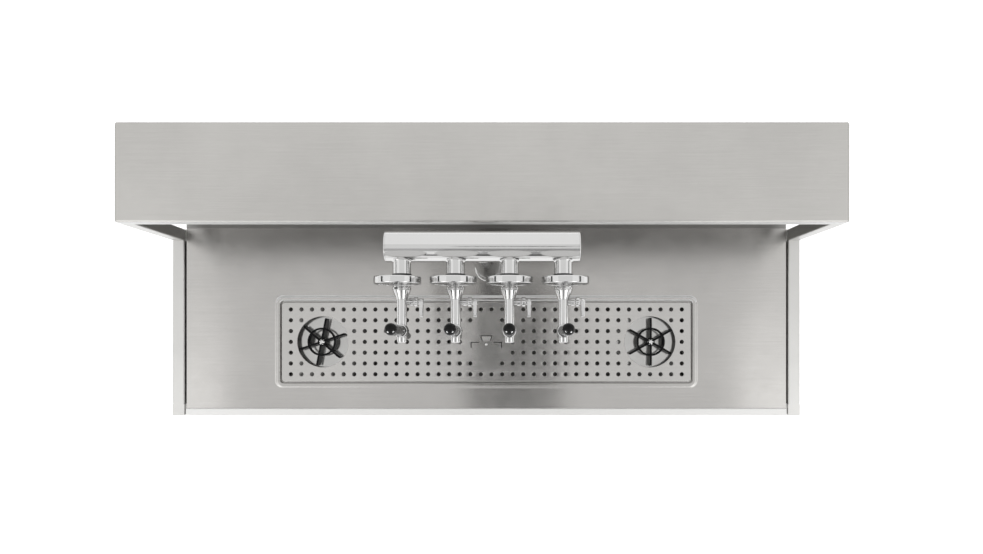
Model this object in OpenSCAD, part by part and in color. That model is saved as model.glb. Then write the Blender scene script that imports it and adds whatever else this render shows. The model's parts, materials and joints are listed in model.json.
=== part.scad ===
// Beer dispensing counter: a steel worktop in a square tube frame, with a raised bar shelf,
// a drip tray with two glass rinsers and a tower with a row of flow control taps.
// Millimetres. The origin is on the floor under the middle of the counter.
// +X is the operator's right, -Y is the operator's side and +Z is up.

/* [Counter] */
// Overall width of the counter
counter_w = 1600; // [1300:10:2000]
// Depth from the operator's edge to the customer's edge of the bar shelf
counter_d = 665; // [620:5:760]
// Height of the worktop's rim above the floor
worktop_h = 900; // [850:5:950]
// Height of the bar shelf's top above the worktop's rim
shelf_rise = 300; // [240:5:360]
// Depth of the bar shelf
shelf_d = 218.5; // [195:0.5:240]

/* [Frame] */
// Side of the square frame tube
tube = 30; // [27:1:36]
// Wall of the square frame tube
tube_wall = 2; // [1.5:0.1:2.5]
// Outer corner radius of the square frame tube
tube_corner = 3; // [2.6:0.1:4]
// Height of the lower rails' underside above the floor
lower_rail_h = 130; // [110:5:180]
// Height of the posts' lower ends above the floor
foot_h = 70; // [55:5:90]
// Diameter of a levelling foot's pad
foot_d = 29; // [22:1:30]
// Diameter of a levelling foot's screw
foot_screw_d = 10; // [8:1:14]
// Length of the triangular brackets under the bar shelf
bracket_l = 130; // [80:5:150]
// Thickness of the triangular brackets
bracket_t = 5; // [4:0.5:8]
// Distance from the drip tray's ends to the worktop bearers
bearer_gap = 75; // [50:5:90]

/* [Sheet metal] */
// Thickness of the worktop and the panels
sheet = 1.5; // [1:0.1:2]
// Thickness of the bar shelf's sheet
shelf_sheet = 2; // [1.5:0.1:3]
// Radius of the bar shelf's long edges
shelf_edge_r = 4; // [3.2:0.1:6]
// Radius of the bar shelf's corners, seen from above
shelf_corner = 5; // [3:0.5:6]
// Gap between the worktop's sides and the side rails
edge_gap = 4; // [3.2:0.1:6]
// Height of the rim above the worktop's surface
rim_rise = 5; // [3:0.5:8]
// Width of the rim along the operator's edge
rim_w = 18; // [14:0.5:24]
// Height of the folded edges of the worktop
skirt_h = 40; // [37:1:60]
// Outer radius of the folds in the sheet
bend_r = 3; // [2.2:0.1:4]
// Distance from the rear posts to the inner face of the customer panels
panel_standoff = 20; // [15:1:28]

/* [Drip tray] */
// Distance from the operator's edge to the middle of the drip tray
tray_setback = 188; // [180:1:196]
// Length of the grille
grille_l = 1046; // [960:2:1100]
// Depth of the grille
grille_d = 203; // [190:1:210]
// Thickness of the grille
grille_sheet = 2; // [1.5:0.1:3]
// Gap around the grille
grille_gap = 3.4; // [2:0.1:5]
// Corner radius of the tray's mouth
tray_corner = 12; // [9:0.5:16]
// Width of the flange around the tray's mouth
tray_flange = 14; // [10:0.5:18]
// Depth of the tray below the grille's top
tray_depth = 44; // [42:0.5:60]
// Depth of the ledge that carries the grille
ledge_depth = 10; // [8:0.5:14]
// Width of the ledge that carries the grille
ledge_w = 10; // [8:0.5:13]
// Diameter of the drain holes
hole_d = 10.5; // [8:0.5:12]
// Distance between columns of drain holes
hole_pitch_x = 27; // [24:0.2:32]
// Distance between rows of drain holes
hole_pitch_y = 27.6; // [24:0.2:32]
// Least distance from the outer drain holes' centres to the grille's edge
hole_margin = 18; // [14:0.5:22]
// Radius of the plain middle of the grille
plain_r = 64; // [56:1:67]
// Width of the lifting tab in the plain middle
tab_w = 80; // [60:1:90]
// Length of the lifting tab
tab_l = 15; // [12:0.5:20]
// Length of the slots across the lifting tab
tab_arm = 21.5; // [16:0.5:24]
// Width of the slots around the lifting tab and its grip
tab_slot = 2.4; // [1.5:0.1:3]
// Width of the grip's opening at the grip's raised end
grip_w = 31; // [24:1:40]
// Length of the grip's opening
grip_l = 14; // [12:0.5:24]
// Height of the grip's raised end above the grille
grip_rise = 5; // [3:0.5:8]

/* [Drain] */
// Outer diameter of the drain's tail
drain_d = 32; // [25:0.5:40]
// Length of the drain's tail below the tray
drain_l = 60; // [40:1:80]
// Wall of the drain's tail
drain_wall = 2; // [1.5:0.1:3]
// Overhang of the drain's strainer around its tail
strainer_lip = 12; // [8:0.5:16]

/* [Glass rinsers] */
// Distance between the two rinsers
rinser_spacing = 836; // [740:2:880]
// Diameter of the rinser openings in the grille
rinser_hole_d = 130; // [126:1:138]
// Radius of the rinser stars
star_r = 61; // [54:0.5:62]
// Height of the stars above the grille
star_rise = 15; // [10:0.5:20]
// Thickness of a star's arms
arm_t = 4; // [3:0.1:5]
// Height of a star's arms
arm_h = 40; // [34:0.5:42]
// Outer diameter of a star's ring
star_ring_d = 72; // [60:1:80]
// Thickness of a star's ring
star_ring_t = 3; // [2.5:0.1:4]
// Turn of the left star about its own axis
left_turn = -11; // [-30:1:30]
// How far a star is pressed down
star_travel = 8; // [5:0.5:8]
// Diameter of the spray nozzle
nozzle_d = 16; // [14:0.5:20]
// Diameter of the nozzle's stem
nozzle_stem_d = 8; // [6:0.5:9]
// Diameter of a rinser's water inlet
inlet_d = 18; // [16:0.5:24]
// Length of a rinser's water inlet below the tray
inlet_l = 45; // [36:1:60]

/* [Tower] */
// Offset of the tower from the counter's middle, to the operator's right
tower_x = 6; // [-20:0.5:20]
// Distance of the column's axis behind the middle of the strip between the drip tray and the bar shelf
tower_setback = 0; // [-5:0.5:5]
// Outer diameter of the column
column_d = 60.3; // [54:0.1:61]
// Outer diameter of the manifold
manifold_d = 62; // [61.5:0.1:76]
// Length of the manifold, with its end caps
manifold_l = 390; // [384:1:460]
// Wall of the column and the manifold
pipe_wall = 2; // [1.5:0.1:3]
// Height of the tap axes above the worktop's rim
tap_rise = 433; // [380:1:480]
// Distance between taps
tap_pitch = 108; // [102:0.5:110]
// Length of the column below the worktop
column_tail = 60; // [50:1:80]
// Width of the collar around the column
collar_w = 5; // [4:0.5:8]
// Height of the collar around the column
collar_h = 7; // [5:0.5:10]
// Width of the ring of the clamping nut
clamp_nut_w = 12; // [9:0.5:16]
// Thickness of the clamping nut
clamp_nut_t = 12; // [8:0.5:16]
// Thickness of the backing plate under the worktop
backing_t = 3; // [2:0.5:5]
// Gap between the backing plate and the drip tray in front of it or the cross rail behind it
backing_gap = 6; // [2:0.5:10]
// Thickness of the manifold's end caps
cap_t = 3; // [2:0.5:5]
// Outer diameter of the beer lines
line_d = 9.5; // [8:0.1:10]
// Wall of the beer lines
line_wall = 1.2; // [0.8:0.1:1.5]
// Bend radius of the beer lines
line_bend = 12; // [10:0.5:14]
// Distance of each line's axis from the column's axis, in X and in Y
line_offset = 9; // [8:0.5:10]
// Length of the hose barbs under the column
barb_l = 36; // [24:1:48]

/* [Taps] */
// Outer diameter of the tap stubs
stub_d = 36; // [32:0.5:40]
// Distance from the column's axis to the end of a stub
stub_reach = 56; // [50:0.5:62]
// Thickness of the seal behind a disc
seal_t = 5; // [3:0.5:6]
// Diameter of a tap's blank badge disc
disc_d = 91; // [80:1:98]
// Thickness of a badge disc
disc_t = 14; // [10:0.5:18]
// Distance from a seal to the back of a badge disc
disc_step = 5; // [3:0.5:8]
// Diameter of the coupling nut
nut_d = 38; // [30:0.5:40]
// Length of the coupling nut
nut_l = 6; // [5:0.5:14]
// Length of a tap's cone
cone_l = 21; // [18:0.5:26]
// Diameter of a tap's barrel
barrel_d = 20.8; // [19:0.2:23]
// Length of a tap's barrel
barrel_l = 45; // [38:0.5:50]
// Diameter of a tap's valve head
head_d = 27; // [26:0.5:32]
// Distance from the end of the barrel to the valve head's axis
head_reach = 17; // [14:0.5:20]
// Height of the valve head above the tap's axis
head_top = 26; // [25:0.5:30]
// Diameter of the cap in front of a valve head
nose_d = 19.6; // [16:0.2:20]
// Distance from a valve head's axis to the front of its cap
nose_l = 24; // [18:0.5:28]
// Diameter of a tap's tail in its stub
tail_d = 12; // [11:0.5:14]
// Length of a tap's tail behind its stub's end
tail_l = 20; // [14:0.5:24]
// Bore of the beer way
beer_bore = 8; // [6:0.5:8]
// Outer diameter of a spout at its collar
spout_d = 19; // [17:0.5:22]
// Length of a spout
spout_l = 67; // [50:1:80]
// Lean of a spout towards the operator
spout_lean = 6; // [0:1:24]

/* [Handles] */
// Height of a handle's pivot above the tap's axis
pivot_rise = 17; // [16:0.5:18]
// Diameter of a handle's pivot pin
pin_d = 4; // [3:0.5:5]
// Diameter of a handle's stem
stem_d = 8; // [7:0.5:9]
// Diameter of a handle's knob
knob_d = 23; // [20:0.5:28]
// Height of the knob's lower end above the tap's axis
knob_base = 55; // [50:1:65]
// Length of a handle's knob
knob_l = 104; // [80:1:110]

/* [Flow levers] */
// Distance from the coupling nut to a flow lever's axis
flow_reach = 25; // [23:0.5:30]
// Diameter of the boss that carries a flow lever
flow_boss_d = 16; // [14:0.5:18]
// Distance from the tap's axis to the end of the flow boss
flow_boss_l = 33; // [30:0.5:36]
// Diameter of a flow lever's shaft
flow_shaft_d = 6; // [5:0.5:7]
// Length of a flow lever, from its axis to its tip's centre
flow_lever_l = 27; // [22:0.5:30]
// Width of a flow lever
flow_lever_w = 7.5; // [5:0.5:9]

/* [Clearances] */
// Radial gap of a shaft that turns or slides in its bore
running_gap = 0.05; // [0.02:0.01:0.08]
// Gap between pieces that move past each other
moving_gap = 0.3; // [0.3:0.05:0.6]
// Radial gap of a fixed piece in its hole
hole_gap = 0.2; // [0.1:0.05:0.4]

/* [Hidden] */
$fn = 64;
arc_steps = 8;
over = 1;
edge = 1;
front_y = -counter_d / 2;
back_y = counter_d / 2;
side_x = counter_w / 2;
post_x = side_x - tube / 2;
inner_x = side_x - tube;
shelf_front_y = back_y - shelf_d;
shelf_top = worktop_h + shelf_rise;
shelf_under = shelf_top - shelf_sheet - tube;
rear_post_back = shelf_front_y + tube;
panel_y = rear_post_back + panel_standoff;
worktop_back = panel_y + sheet;
worktop_half = inner_x - edge_gap;
surface = worktop_h - rim_rise;
underside = surface - sheet;
front_rail_y = front_y + sheet;
rail_gap = 1;
bearer_x = grille_l / 2 + grille_gap + sheet + bearer_gap + tube / 2;
lower_rail_top = lower_rail_h + tube;
rib_d = 20;
rib_count = 3;
plug_l = 25;
plug_flange = 3;
pad_t = 12;
pad_rim = 5;
nut_thick = 8;
drain_nut_land = 7;
inlet_nut_land = 5;
thread_step = 1;
drain_thread_d = drain_d + 2 * thread_step;
inlet_thread_d = inlet_d + 2 * thread_step;

tray_y = front_y + tray_setback;
tray_top = surface + sheet;
mouth_l = grille_l + 2 * grille_gap;
mouth_d = grille_d + 2 * grille_gap;
well_l = mouth_l - 2 * ledge_w;
well_d = mouth_d - 2 * ledge_w;
well_corner = max(tray_corner - ledge_w, 2);
tray_floor = tray_top - tray_depth;
tray_under = tray_floor - sheet;
grille_corner = tray_corner - grille_gap;
columns = floor((grille_l - 2 * hole_margin) / hole_pitch_x) + 1;
rows = floor((grille_d - 2 * hole_margin) / hole_pitch_y) + 1;
bridge = 2;
grip_taper = 9;
bead_d = 7;
bead_gap = 0.5;

rinser_x = rinser_spacing / 2;
star_top = tray_top + star_rise;
star_arms = 6;
hub_wall = 7;
hub_d = nozzle_stem_d + 2 * hub_wall;
hub_drop = 7;
hub_foot = arm_h + edge;
ring_drop = 2;
ring_h = 10;
leg_w = 28;
arm_chamfer = 4;
arm_toe = 10;
end_gap = 2;
press_gap = 1;
leg_foot = tray_floor + star_travel + end_gap;
valve_flange_d = 50;
valve_flange_t = 4;
valve_top = star_top - hub_foot - star_travel - press_gap;
stem_depth = 12;
valve_bore_depth = stem_depth + star_travel + end_gap;

tray_back = tray_y + mouth_d / 2;
tower_y = (tray_back + tray_flange + shelf_front_y) / 2 + tower_setback;
tap_z = worktop_h + tap_rise;
column_foot = underside - column_tail;
column_in = column_d / 2 - pipe_wall;
manifold_in = manifold_d / 2 - pipe_wall;
taps = 4;
tap_x = [for (i = [0:taps - 1]) tower_x + (i - (taps - 1) / 2) * tap_pitch];
stub_wall = 3;
bush_l = 20;
cap_plug = 8;
barb_count = 3;
barb_step = 6;
barb_rise = 1.2;
barb_flange = 1.5;
barb_flange_t = 4;
barb_wall = 1;

seal_u = stub_reach;
disc_u = seal_u + seal_t;
nut_u = disc_u + disc_step + disc_t;
cone_u = nut_u + nut_l;
barrel_u = cone_u + cone_l;
head_u = barrel_u + barrel_l + head_reach;
tail_u = stub_reach - tail_l;
flow_u = cone_u + flow_reach;
disc_edge = 2;
disc_rim = 4;
disc_dish = 1;
disc_sink = 2.5;
ring_r = stub_d / 2 + edge;
disc_rise = ring_r + disc_d / 2 - disc_sink;
nut_step = 2;
nut_neck = 2;
nut_flat = 0.8;
cone_r = nut_d / 2 - nut_flat;
cone_land = 2;
head_drop = 3;
head_edge = 2;
nose_edge = 3;
cup_wall = 4.5;
cup_r = head_d / 2 - cup_wall;
cup_floor = pivot_rise - 8;
handle_slot_w = stem_d + 2;
pin_set = 0.3;
eye_d = 11;
eye_w = 11;
ferrule_d = 12;
ferrule_l = 7;
knob_neck_d = knob_d - 2;
knob_bore_l = 20;
spout_boss_d = 18;
spout_boss_l = 19;
spout_collar = 8;
spout_tip_d = 15;
spout_bore = 10;
gland_d = flow_boss_d + 3;
gland_l = 9;
flow_bore_l = 20;
lever_hub_d = 12;
lever_shoulder = 2;
lever_root_d = 14;
lever_tip_d = 7;

// Points on an arc about c, from angle a0 to a1
function arc(c, r, a0, a1) =
    [for (i = [0:arc_steps]) let (a = a0 + (a1 - a0) * i / arc_steps) c + r * [cos(a), sin(a)]];

// Outline of a rectangle with round corners
function rounded(w, d, r) = concat(
    arc([w / 2 - r, d / 2 - r], r, 0, 90),
    arc([r - w / 2, d / 2 - r], r, 90, 180),
    arc([r - w / 2, r - d / 2], r, 180, 270),
    arc([w / 2 - r, r - d / 2], r, 270, 360));

// Outline of a box below the X axis with round upper corners
function arch(w, h, r) = concat(
    [[w / 2, -h]],
    arc([w / 2 - r, -r], r, 0, 90),
    arc([r - w / 2, -r], r, 90, 180),
    [[-w / 2, -h]]);

// Outline of a bar with round ends of two sizes, its length along +X
function link(l, r1, r2) = let (a = acos((r1 - r2) / l)) concat(
    arc([0, 0], r1, a, 360 - a),
    arc([l, 0], r2, -a, a));

// Folded sheet: a flat top and two sides, open below
module channel(w, h, t, r) {
    difference() {
        polygon(arch(w, h, r));
        translate([0, -t]) polygon(arch(w - 2 * t, h, r - t));
    }
}

// Draws a section of Y and Z along X, centred
module along_x(l) {
    rotate([90, 0, 90]) linear_extrude(l, center = true) children();
}

// Draws a section of X and Z along Y, from y0 to y1
module along_y(y0, y1) {
    translate([0, y1, 0]) rotate([90, 0, 0]) linear_extrude(y1 - y0) children();
}

// Square tube along +Z, centred on its axis
module tube_bar(l) {
    inner = tube - 2 * tube_wall;
    linear_extrude(l) difference() {
        polygon(rounded(tube, tube, tube_corner));
        polygon(rounded(inner, inner, tube_corner - tube_wall));
    }
}

module tube_x(x0, x1, y, z) {
    translate([x0, y, z]) rotate([0, 90, 0]) tube_bar(x1 - x0);
}

module tube_y(y0, y1, x, z) {
    translate([x, y0, z]) rotate([-90, 0, 0]) tube_bar(y1 - y0);
}

// Places its children on the left and on the right
module both_sides(x) {
    for (s = [-1, 1]) translate([s * x, 0, 0]) children();
}

// Places its children on the axes of the four posts
module at_posts() {
    for (x = [-post_x, post_x], y = [front_y + tube / 2, shelf_front_y + tube / 2])
        translate([x, y, 0]) children();
}

module front_posts() {
    color("gainsboro") both_sides(post_x) translate([0, front_y + tube / 2, foot_h]) {
        tube_bar(worktop_h - foot_h);
        translate([0, 0, worktop_h - foot_h - tube_wall])
            linear_extrude(tube_wall) polygon(rounded(tube, tube, tube_corner));
    }
}

module rear_posts() {
    color("gainsboro") both_sides(post_x)
        translate([0, shelf_front_y + tube / 2, foot_h]) tube_bar(shelf_under - foot_h);
}

module side_rails(z) {
    both_sides(post_x) tube_y(front_y + tube, shelf_front_y, 0, z + tube / 2);
}

module upper_side_rails() {
    color("gainsboro") side_rails(worktop_h - tube);
}

module lower_side_rails() {
    color("gainsboro") side_rails(lower_rail_h);
}

module cross_rail(y, z) {
    tube_x(-inner_x, inner_x, y + tube / 2, z + tube / 2);
}

module upper_cross_rails() {
    color("gainsboro") {
        cross_rail(front_rail_y, underside - tube);
        cross_rail(shelf_front_y, underside - tube);
    }
}

module lower_cross_rails() {
    color("gainsboro") {
        cross_rail(front_y, lower_rail_h);
        cross_rail(shelf_front_y, lower_rail_h);
    }
}

module worktop_bearers() {
    color("gainsboro") both_sides(bearer_x)
        tube_y(front_rail_y + tube, shelf_front_y, 0, underside - tube / 2);
}

// Plastic plug in a post's lower end, with the hole of the foot's screw
module post_plugs() {
    inner = tube - 2 * tube_wall - 2 * hole_gap;
    color("dimgray") at_posts() translate([0, 0, foot_h]) difference() {
        union() {
            translate([0, 0, -plug_flange])
                linear_extrude(plug_flange) polygon(rounded(tube, tube, tube_corner));
            linear_extrude(plug_l) polygon(rounded(inner, inner, edge));
        }
        translate([0, 0, -plug_flange - over])
            cylinder(h = plug_l + plug_flange + 2 * over, d = foot_screw_d + 2 * hole_gap);
    }
}

module levelling_feet() {
    pad_r = foot_d / 2;
    screw_r = foot_screw_d / 2;
    neck_r = screw_r + edge;
    screw_top = foot_h + plug_l - end_gap;
    color("dimgray") at_posts() rotate_extrude() polygon([[0, 0], [pad_r - edge, 0], [pad_r, edge],
        [pad_r, pad_rim], [neck_r, pad_t], [screw_r, pad_t], [screw_r, screw_top], [0, screw_top]]);
}

module foot_lock_nuts() {
    color("silver") at_posts() translate([0, 0, foot_h - plug_flange - nut_thick]) difference() {
        cylinder(h = nut_thick, d = foot_screw_d * 2, $fn = 6);
        translate([0, 0, -over]) cylinder(h = nut_thick + 2 * over, d = foot_screw_d + 2 * hole_gap);
    }
}

module shelf_arms() {
    color("gainsboro") both_sides(side_x - shelf_sheet - tube / 2)
        tube_y(shelf_front_y + shelf_edge_r, back_y - shelf_edge_r, 0, shelf_under + tube / 2);
}

module shelf_beam() {
    half = side_x - shelf_sheet - tube;
    color("gainsboro") tube_x(-half, half, worktop_back - tube / 2, shelf_under + tube / 2);
}

// Triangular bracket with a hollow long edge, between a rear post and a shelf arm
module shelf_brackets() {
    nose = 12;
    color("gainsboro") both_sides(post_x) translate([0, rear_post_back, shelf_under])
        along_x(bracket_t) polygon(concat([[0, 0], [0, -bracket_l], [nose, -bracket_l]],
            arc([bracket_l, -bracket_l], bracket_l - nose, 180, 90), [[bracket_l, 0]]));
}

module bar_shelf() {
    height = tube + shelf_sheet;
    middle = back_y - shelf_d / 2;
    color("silver") translate([0, middle, shelf_top]) intersection() {
        union() {
            along_x(counter_w) channel(shelf_d, height, shelf_sheet, shelf_edge_r);
            both_sides(side_x - shelf_sheet / 2)
                along_x(shelf_sheet) polygon(arch(shelf_d, height, shelf_edge_r));
        }
        translate([0, 0, -height]) linear_extrude(height)
            polygon(rounded(counter_w, shelf_d, shelf_corner));
    }
}

// Section of the worktop's front rim: skirt, flat top and step down to the surface
module rim_section() {
    step = rim_rise + sheet;
    polygon(concat([[0, -skirt_h]], arc([bend_r, -bend_r], bend_r, 180, 90),
        arc([rim_w - bend_r, -bend_r], bend_r, 90, 0), [[rim_w, -step], [rim_w - sheet, -step]],
        [[rim_w - sheet, -sheet], [sheet, -sheet], [sheet, -skirt_h]]));
}

module worktop() {
    half = worktop_half;
    skirt_y0 = front_rail_y + tube + rail_gap;
    skirt_y1 = shelf_front_y - rail_gap;
    cut_gap = sheet + hole_gap;
    color("silver") difference() {
        union() {
            translate([0, front_y, worktop_h]) along_x(2 * half) rim_section();
            translate([-half, front_y + rim_w - sheet, underside])
                cube([2 * half, worktop_back - front_y - rim_w + sheet, sheet]);
            along_y(skirt_y0, skirt_y1) translate([0, surface])
                channel(2 * half, tube, sheet, bend_r);
        }
        translate([0, tray_y, underside - over]) linear_extrude(sheet + 2 * over)
            polygon(rounded(mouth_l + 2 * cut_gap, mouth_d + 2 * cut_gap, tray_corner + cut_gap));
        translate([tower_x, tower_y, underside - over])
            cylinder(h = sheet + 2 * over, d = column_d + 2 * hole_gap);
    }
}

// Panel between the worktop and the bar shelf, with a flange at its foot and its head
module splash_panel() {
    height = shelf_under - surface;
    color("silver") translate([0, worktop_back, surface]) along_x(2 * worktop_half)
        polygon([[0, 0], [0, height], [-panel_standoff, height], [-panel_standoff, height - sheet],
            [-sheet, height - sheet], [-sheet, sheet], [-panel_standoff, sheet], [-panel_standoff, 0]]);
}

// Customer's panel below the worktop: a shallow pan with its edges folded to the cross rails
module customer_panel() {
    w = 2 * worktop_half;
    h = underside - lower_rail_h;
    color("silver") translate([-worktop_half, rear_post_back, lower_rail_h]) difference() {
        cube([w, panel_standoff + sheet, h]);
        translate([sheet, -over, sheet]) cube([w - 2 * sheet, panel_standoff + over, h - 2 * sheet]);
    }
}

module side_panel(s) {
    y0 = front_rail_y + tube + rail_gap;
    y1 = shelf_front_y - rail_gap;
    translate([s * (inner_x - sheet / 2), (y0 + y1) / 2, lower_rail_h])
        linear_extrude(worktop_h - tube / 2 - lower_rail_h) square([sheet, y1 - y0], center = true);
}

module left_side_panel() {
    color("silver") side_panel(-1);
}

module right_side_panel() {
    color("silver") side_panel(1);
}

// Bottom shelf on the lower cross rails, with folded ribs under it
module bottom_shelf() {
    half = inner_x - sheet - rail_gap;
    rib_y0 = front_y + tube + rail_gap;
    rib_y1 = shelf_front_y - rail_gap;
    color("silver") {
        translate([-half, front_y, lower_rail_top])
            cube([2 * half, rear_post_back - front_y, sheet]);
        for (i = [1:rib_count]) translate([half * (2 * i / (rib_count + 1) - 1), 0, 0])
            along_y(rib_y0, rib_y1) translate([0, lower_rail_top - rib_d])
                mirror([0, 1]) channel(2 * rib_d, rib_d, sheet, bend_r);
    }
}

// Level ring of the tray between two outlines
module tray_ring(z, h, outer_l, outer_d, outer_r, inner_l, inner_d, inner_r) {
    translate([0, tray_y, z]) linear_extrude(h) difference() {
        polygon(rounded(outer_l, outer_d, outer_r));
        polygon(rounded(inner_l, inner_d, inner_r));
    }
}

// Stepped pan: flange, upper wall, ledge, lower wall and floor
module drip_tray() {
    wall = 2 * sheet;
    ledge_top = tray_top - ledge_depth;
    color("silver") {
        tray_ring(surface, sheet, mouth_l + 2 * tray_flange, mouth_d + 2 * tray_flange,
            tray_corner + tray_flange, mouth_l, mouth_d, tray_corner);
        tray_ring(ledge_top - sheet, ledge_depth + sheet, mouth_l + wall, mouth_d + wall,
            tray_corner + sheet, mouth_l, mouth_d, tray_corner);
        tray_ring(ledge_top - sheet, sheet, mouth_l + wall, mouth_d + wall,
            tray_corner + sheet, well_l, well_d, well_corner);
        tray_ring(tray_under, ledge_top - tray_under, well_l + wall, well_d + wall,
            well_corner + sheet, well_l, well_d, well_corner);
        translate([0, tray_y, tray_under]) linear_extrude(sheet) difference() {
            polygon(rounded(well_l + wall, well_d + wall, well_corner + sheet));
            circle(d = drain_thread_d + 2 * hole_gap);
            both_sides(rinser_x) circle(d = inlet_thread_d + 2 * hole_gap);
        }
    }
}

// Strainer plate with holes, on a thread through the tray's floor and a plain tail below its nut
module drain_outlet() {
    plate_t = 2;
    thread_l = sheet + nut_thick;
    hole_w = 5;
    holes = 6;
    color("silver") translate([0, tray_y, tray_floor]) difference() {
        union() {
            cylinder(h = plate_t, d = drain_d + 2 * strainer_lip);
            translate([0, 0, -thread_l]) cylinder(h = thread_l + plate_t, d = drain_thread_d);
            translate([0, 0, -sheet - drain_l]) cylinder(h = sheet + drain_l, d = drain_d);
        }
        translate([0, 0, -sheet - drain_l - over])
            cylinder(h = sheet + drain_l + over, d = drain_d - 2 * drain_wall);
        for (i = [0:holes - 1]) rotate(i * 360 / holes) translate([drain_d / 4, 0, -over])
            cylinder(h = plate_t + 2 * over, d = hole_w);
    }
}

module drain_nut() {
    color("gray") translate([0, tray_y, tray_under - nut_thick]) difference() {
        cylinder(h = nut_thick, d = drain_thread_d + 2 * drain_nut_land, $fn = 8);
        translate([0, 0, -over]) cylinder(h = nut_thick + 2 * over, d = drain_thread_d + 2 * hole_gap);
    }
}

// True where a drain hole clears the rinser openings and the plain middle
function hole_fits(x, y) =
    norm([abs(x) - rinser_x, y]) > (rinser_hole_d + hole_d) / 2 + bridge && norm([x, y]) > plain_r;

// Two L-shaped slots, at the left and the right of the lifting tab
module tab_slots() {
    for (s = [0, 1]) mirror([s, 0]) {
        translate([tab_w / 2 - tab_arm, -tab_slot]) square([tab_arm, tab_slot]);
        translate([tab_w / 2 - tab_slot, -tab_l]) square([tab_slot, tab_l]);
    }
}

// Outline of the grip's opening, narrow at the grip's foot, or of the grip with a gap around it
function grip_outline(gap) = let (foot = (grip_w - grip_taper) / 2 - gap, end = grip_w / 2 - gap)
    [[-foot, tab_slot], [foot, tab_slot], [end, tab_slot + grip_l - gap], [-end, tab_slot + grip_l - gap]];

// Perforated plate with its edges folded down to the tray's ledge
module grille() {
    fold = ledge_depth - moving_gap;
    color("lightgray") translate([0, tray_y, tray_top]) {
        translate([0, 0, -grille_sheet]) linear_extrude(grille_sheet) difference() {
            polygon(rounded(grille_l, grille_d, grille_corner));
            both_sides(rinser_x) circle(d = rinser_hole_d);
            tab_slots();
            polygon(grip_outline(0));
            for (i = [0:columns - 1], j = [0:rows - 1])
                let (x = (i - (columns - 1) / 2) * hole_pitch_x)
                let (y = (j - (rows - 1) / 2) * hole_pitch_y)
                    if (hole_fits(x, y)) translate([x, y]) circle(d = hole_d, $fn = 24);
        }
        translate([0, 0, -fold]) linear_extrude(fold) difference() {
            polygon(rounded(grille_l, grille_d, grille_corner));
            polygon(rounded(grille_l - 2 * grille_sheet, grille_d - 2 * grille_sheet,
                grille_corner - grille_sheet));
        }
    }
}

// Finger grip bent up from its foot, and the head of the tab's rivet
module grille_grip() {
    reach = grip_l - tab_slot;
    color("gainsboro") translate([0, tray_y, tray_top]) {
        intersection() {
            translate([0, 0, -grille_sheet]) linear_extrude(grille_sheet + grip_rise)
                polygon(grip_outline(tab_slot));
            translate([0, tab_slot, 0]) along_x(grip_w) polygon([[0, -grille_sheet],
                [reach, grip_rise - grille_sheet], [reach, grip_rise], [0, 0]]);
        }
        translate([0, -tab_slot - bead_d / 2 - bead_gap, 0]) rotate_extrude()
            polygon(concat([[0, 0]], arc([0, 0], bead_d / 2, 0, 90)));
    }
}

// Valve on the tray's floor: flange, neck, a thread through the floor and a plain water inlet
module rinser_valves() {
    neck_r = hub_d / 2;
    flange_r = valve_flange_d / 2;
    inlet_r = inlet_d / 2;
    thread_r = inlet_thread_d / 2;
    thread_foot = tray_under - nut_thick;
    foot = tray_under - inlet_l;
    flange_top = tray_floor + valve_flange_t;
    cone = (valve_top - flange_top) / 2;
    bore_foot = tray_floor - valve_bore_depth;
    color("silver") translate([0, tray_y, 0]) both_sides(rinser_x) difference() {
        rotate_extrude() polygon([[0, foot], [inlet_r, foot], [inlet_r, thread_foot],
            [thread_r, thread_foot], [thread_r, tray_floor], [flange_r, tray_floor],
            [flange_r, flange_top - edge], [flange_r - edge, flange_top], [neck_r + cone, flange_top],
            [neck_r, flange_top + cone], [neck_r, valve_top], [0, valve_top]]);
        translate([0, 0, bore_foot])
            cylinder(h = valve_top - bore_foot + over, r = nozzle_stem_d / 2 + running_gap);
        translate([0, 0, foot - over]) cylinder(h = bore_foot - foot + 2 * over, d = nozzle_stem_d - 2);
    }
}

module rinser_nuts() {
    color("gray") translate([0, tray_y, tray_under - nut_thick]) both_sides(rinser_x) difference() {
        cylinder(h = nut_thick, d = inlet_thread_d + 2 * inlet_nut_land, $fn = 6);
        translate([0, 0, -over]) cylinder(h = nut_thick + 2 * over, d = inlet_thread_d + 2 * hole_gap);
    }
}

// Ring of a star, with two guide legs below it
module star_ring() {
    foot = leg_foot - star_top;
    ring_r = star_ring_d / 2;
    ring_foot = -ring_drop - ring_h;
    difference() {
        rotate_extrude() translate([ring_r - star_ring_t, foot]) square([star_ring_t, -ring_drop - foot]);
        for (y = [-leg_w / 2 - star_ring_d, leg_w / 2]) translate([-star_ring_d, y, foot - over])
            cube([2 * star_ring_d, star_ring_d, ring_foot - foot + over]);
    }
}

// Star with upright arms and a ring, pushed onto the nozzle's stem
module rinser_star() {
    arm_in = nozzle_d / 2 + edge;
    color("#181818") difference() {
        union() {
            translate([0, 0, -hub_foot]) cylinder(h = hub_foot - hub_drop, d = hub_d);
            for (i = [0:star_arms - 1]) rotate((i + 0.5) * 360 / star_arms) rotate([90, 0, 0])
                linear_extrude(arm_t, center = true) polygon([[arm_in, 0], [star_r - arm_chamfer, 0],
                    [star_r, -arm_chamfer], [star_r, arm_toe - arm_h], [star_r - arm_toe, -arm_h],
                    [arm_in, -arm_h]]);
            star_ring();
        }
        translate([0, 0, -hub_foot - over])
            cylinder(h = hub_foot + over, r = nozzle_stem_d / 2 + running_gap);
    }
}

module left_rinser_star() {
    translate([-rinser_x, tray_y, star_top]) rotate(left_turn) rinser_star();
}

module right_rinser_star() {
    translate([rinser_x, tray_y, star_top]) rinser_star();
}

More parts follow.
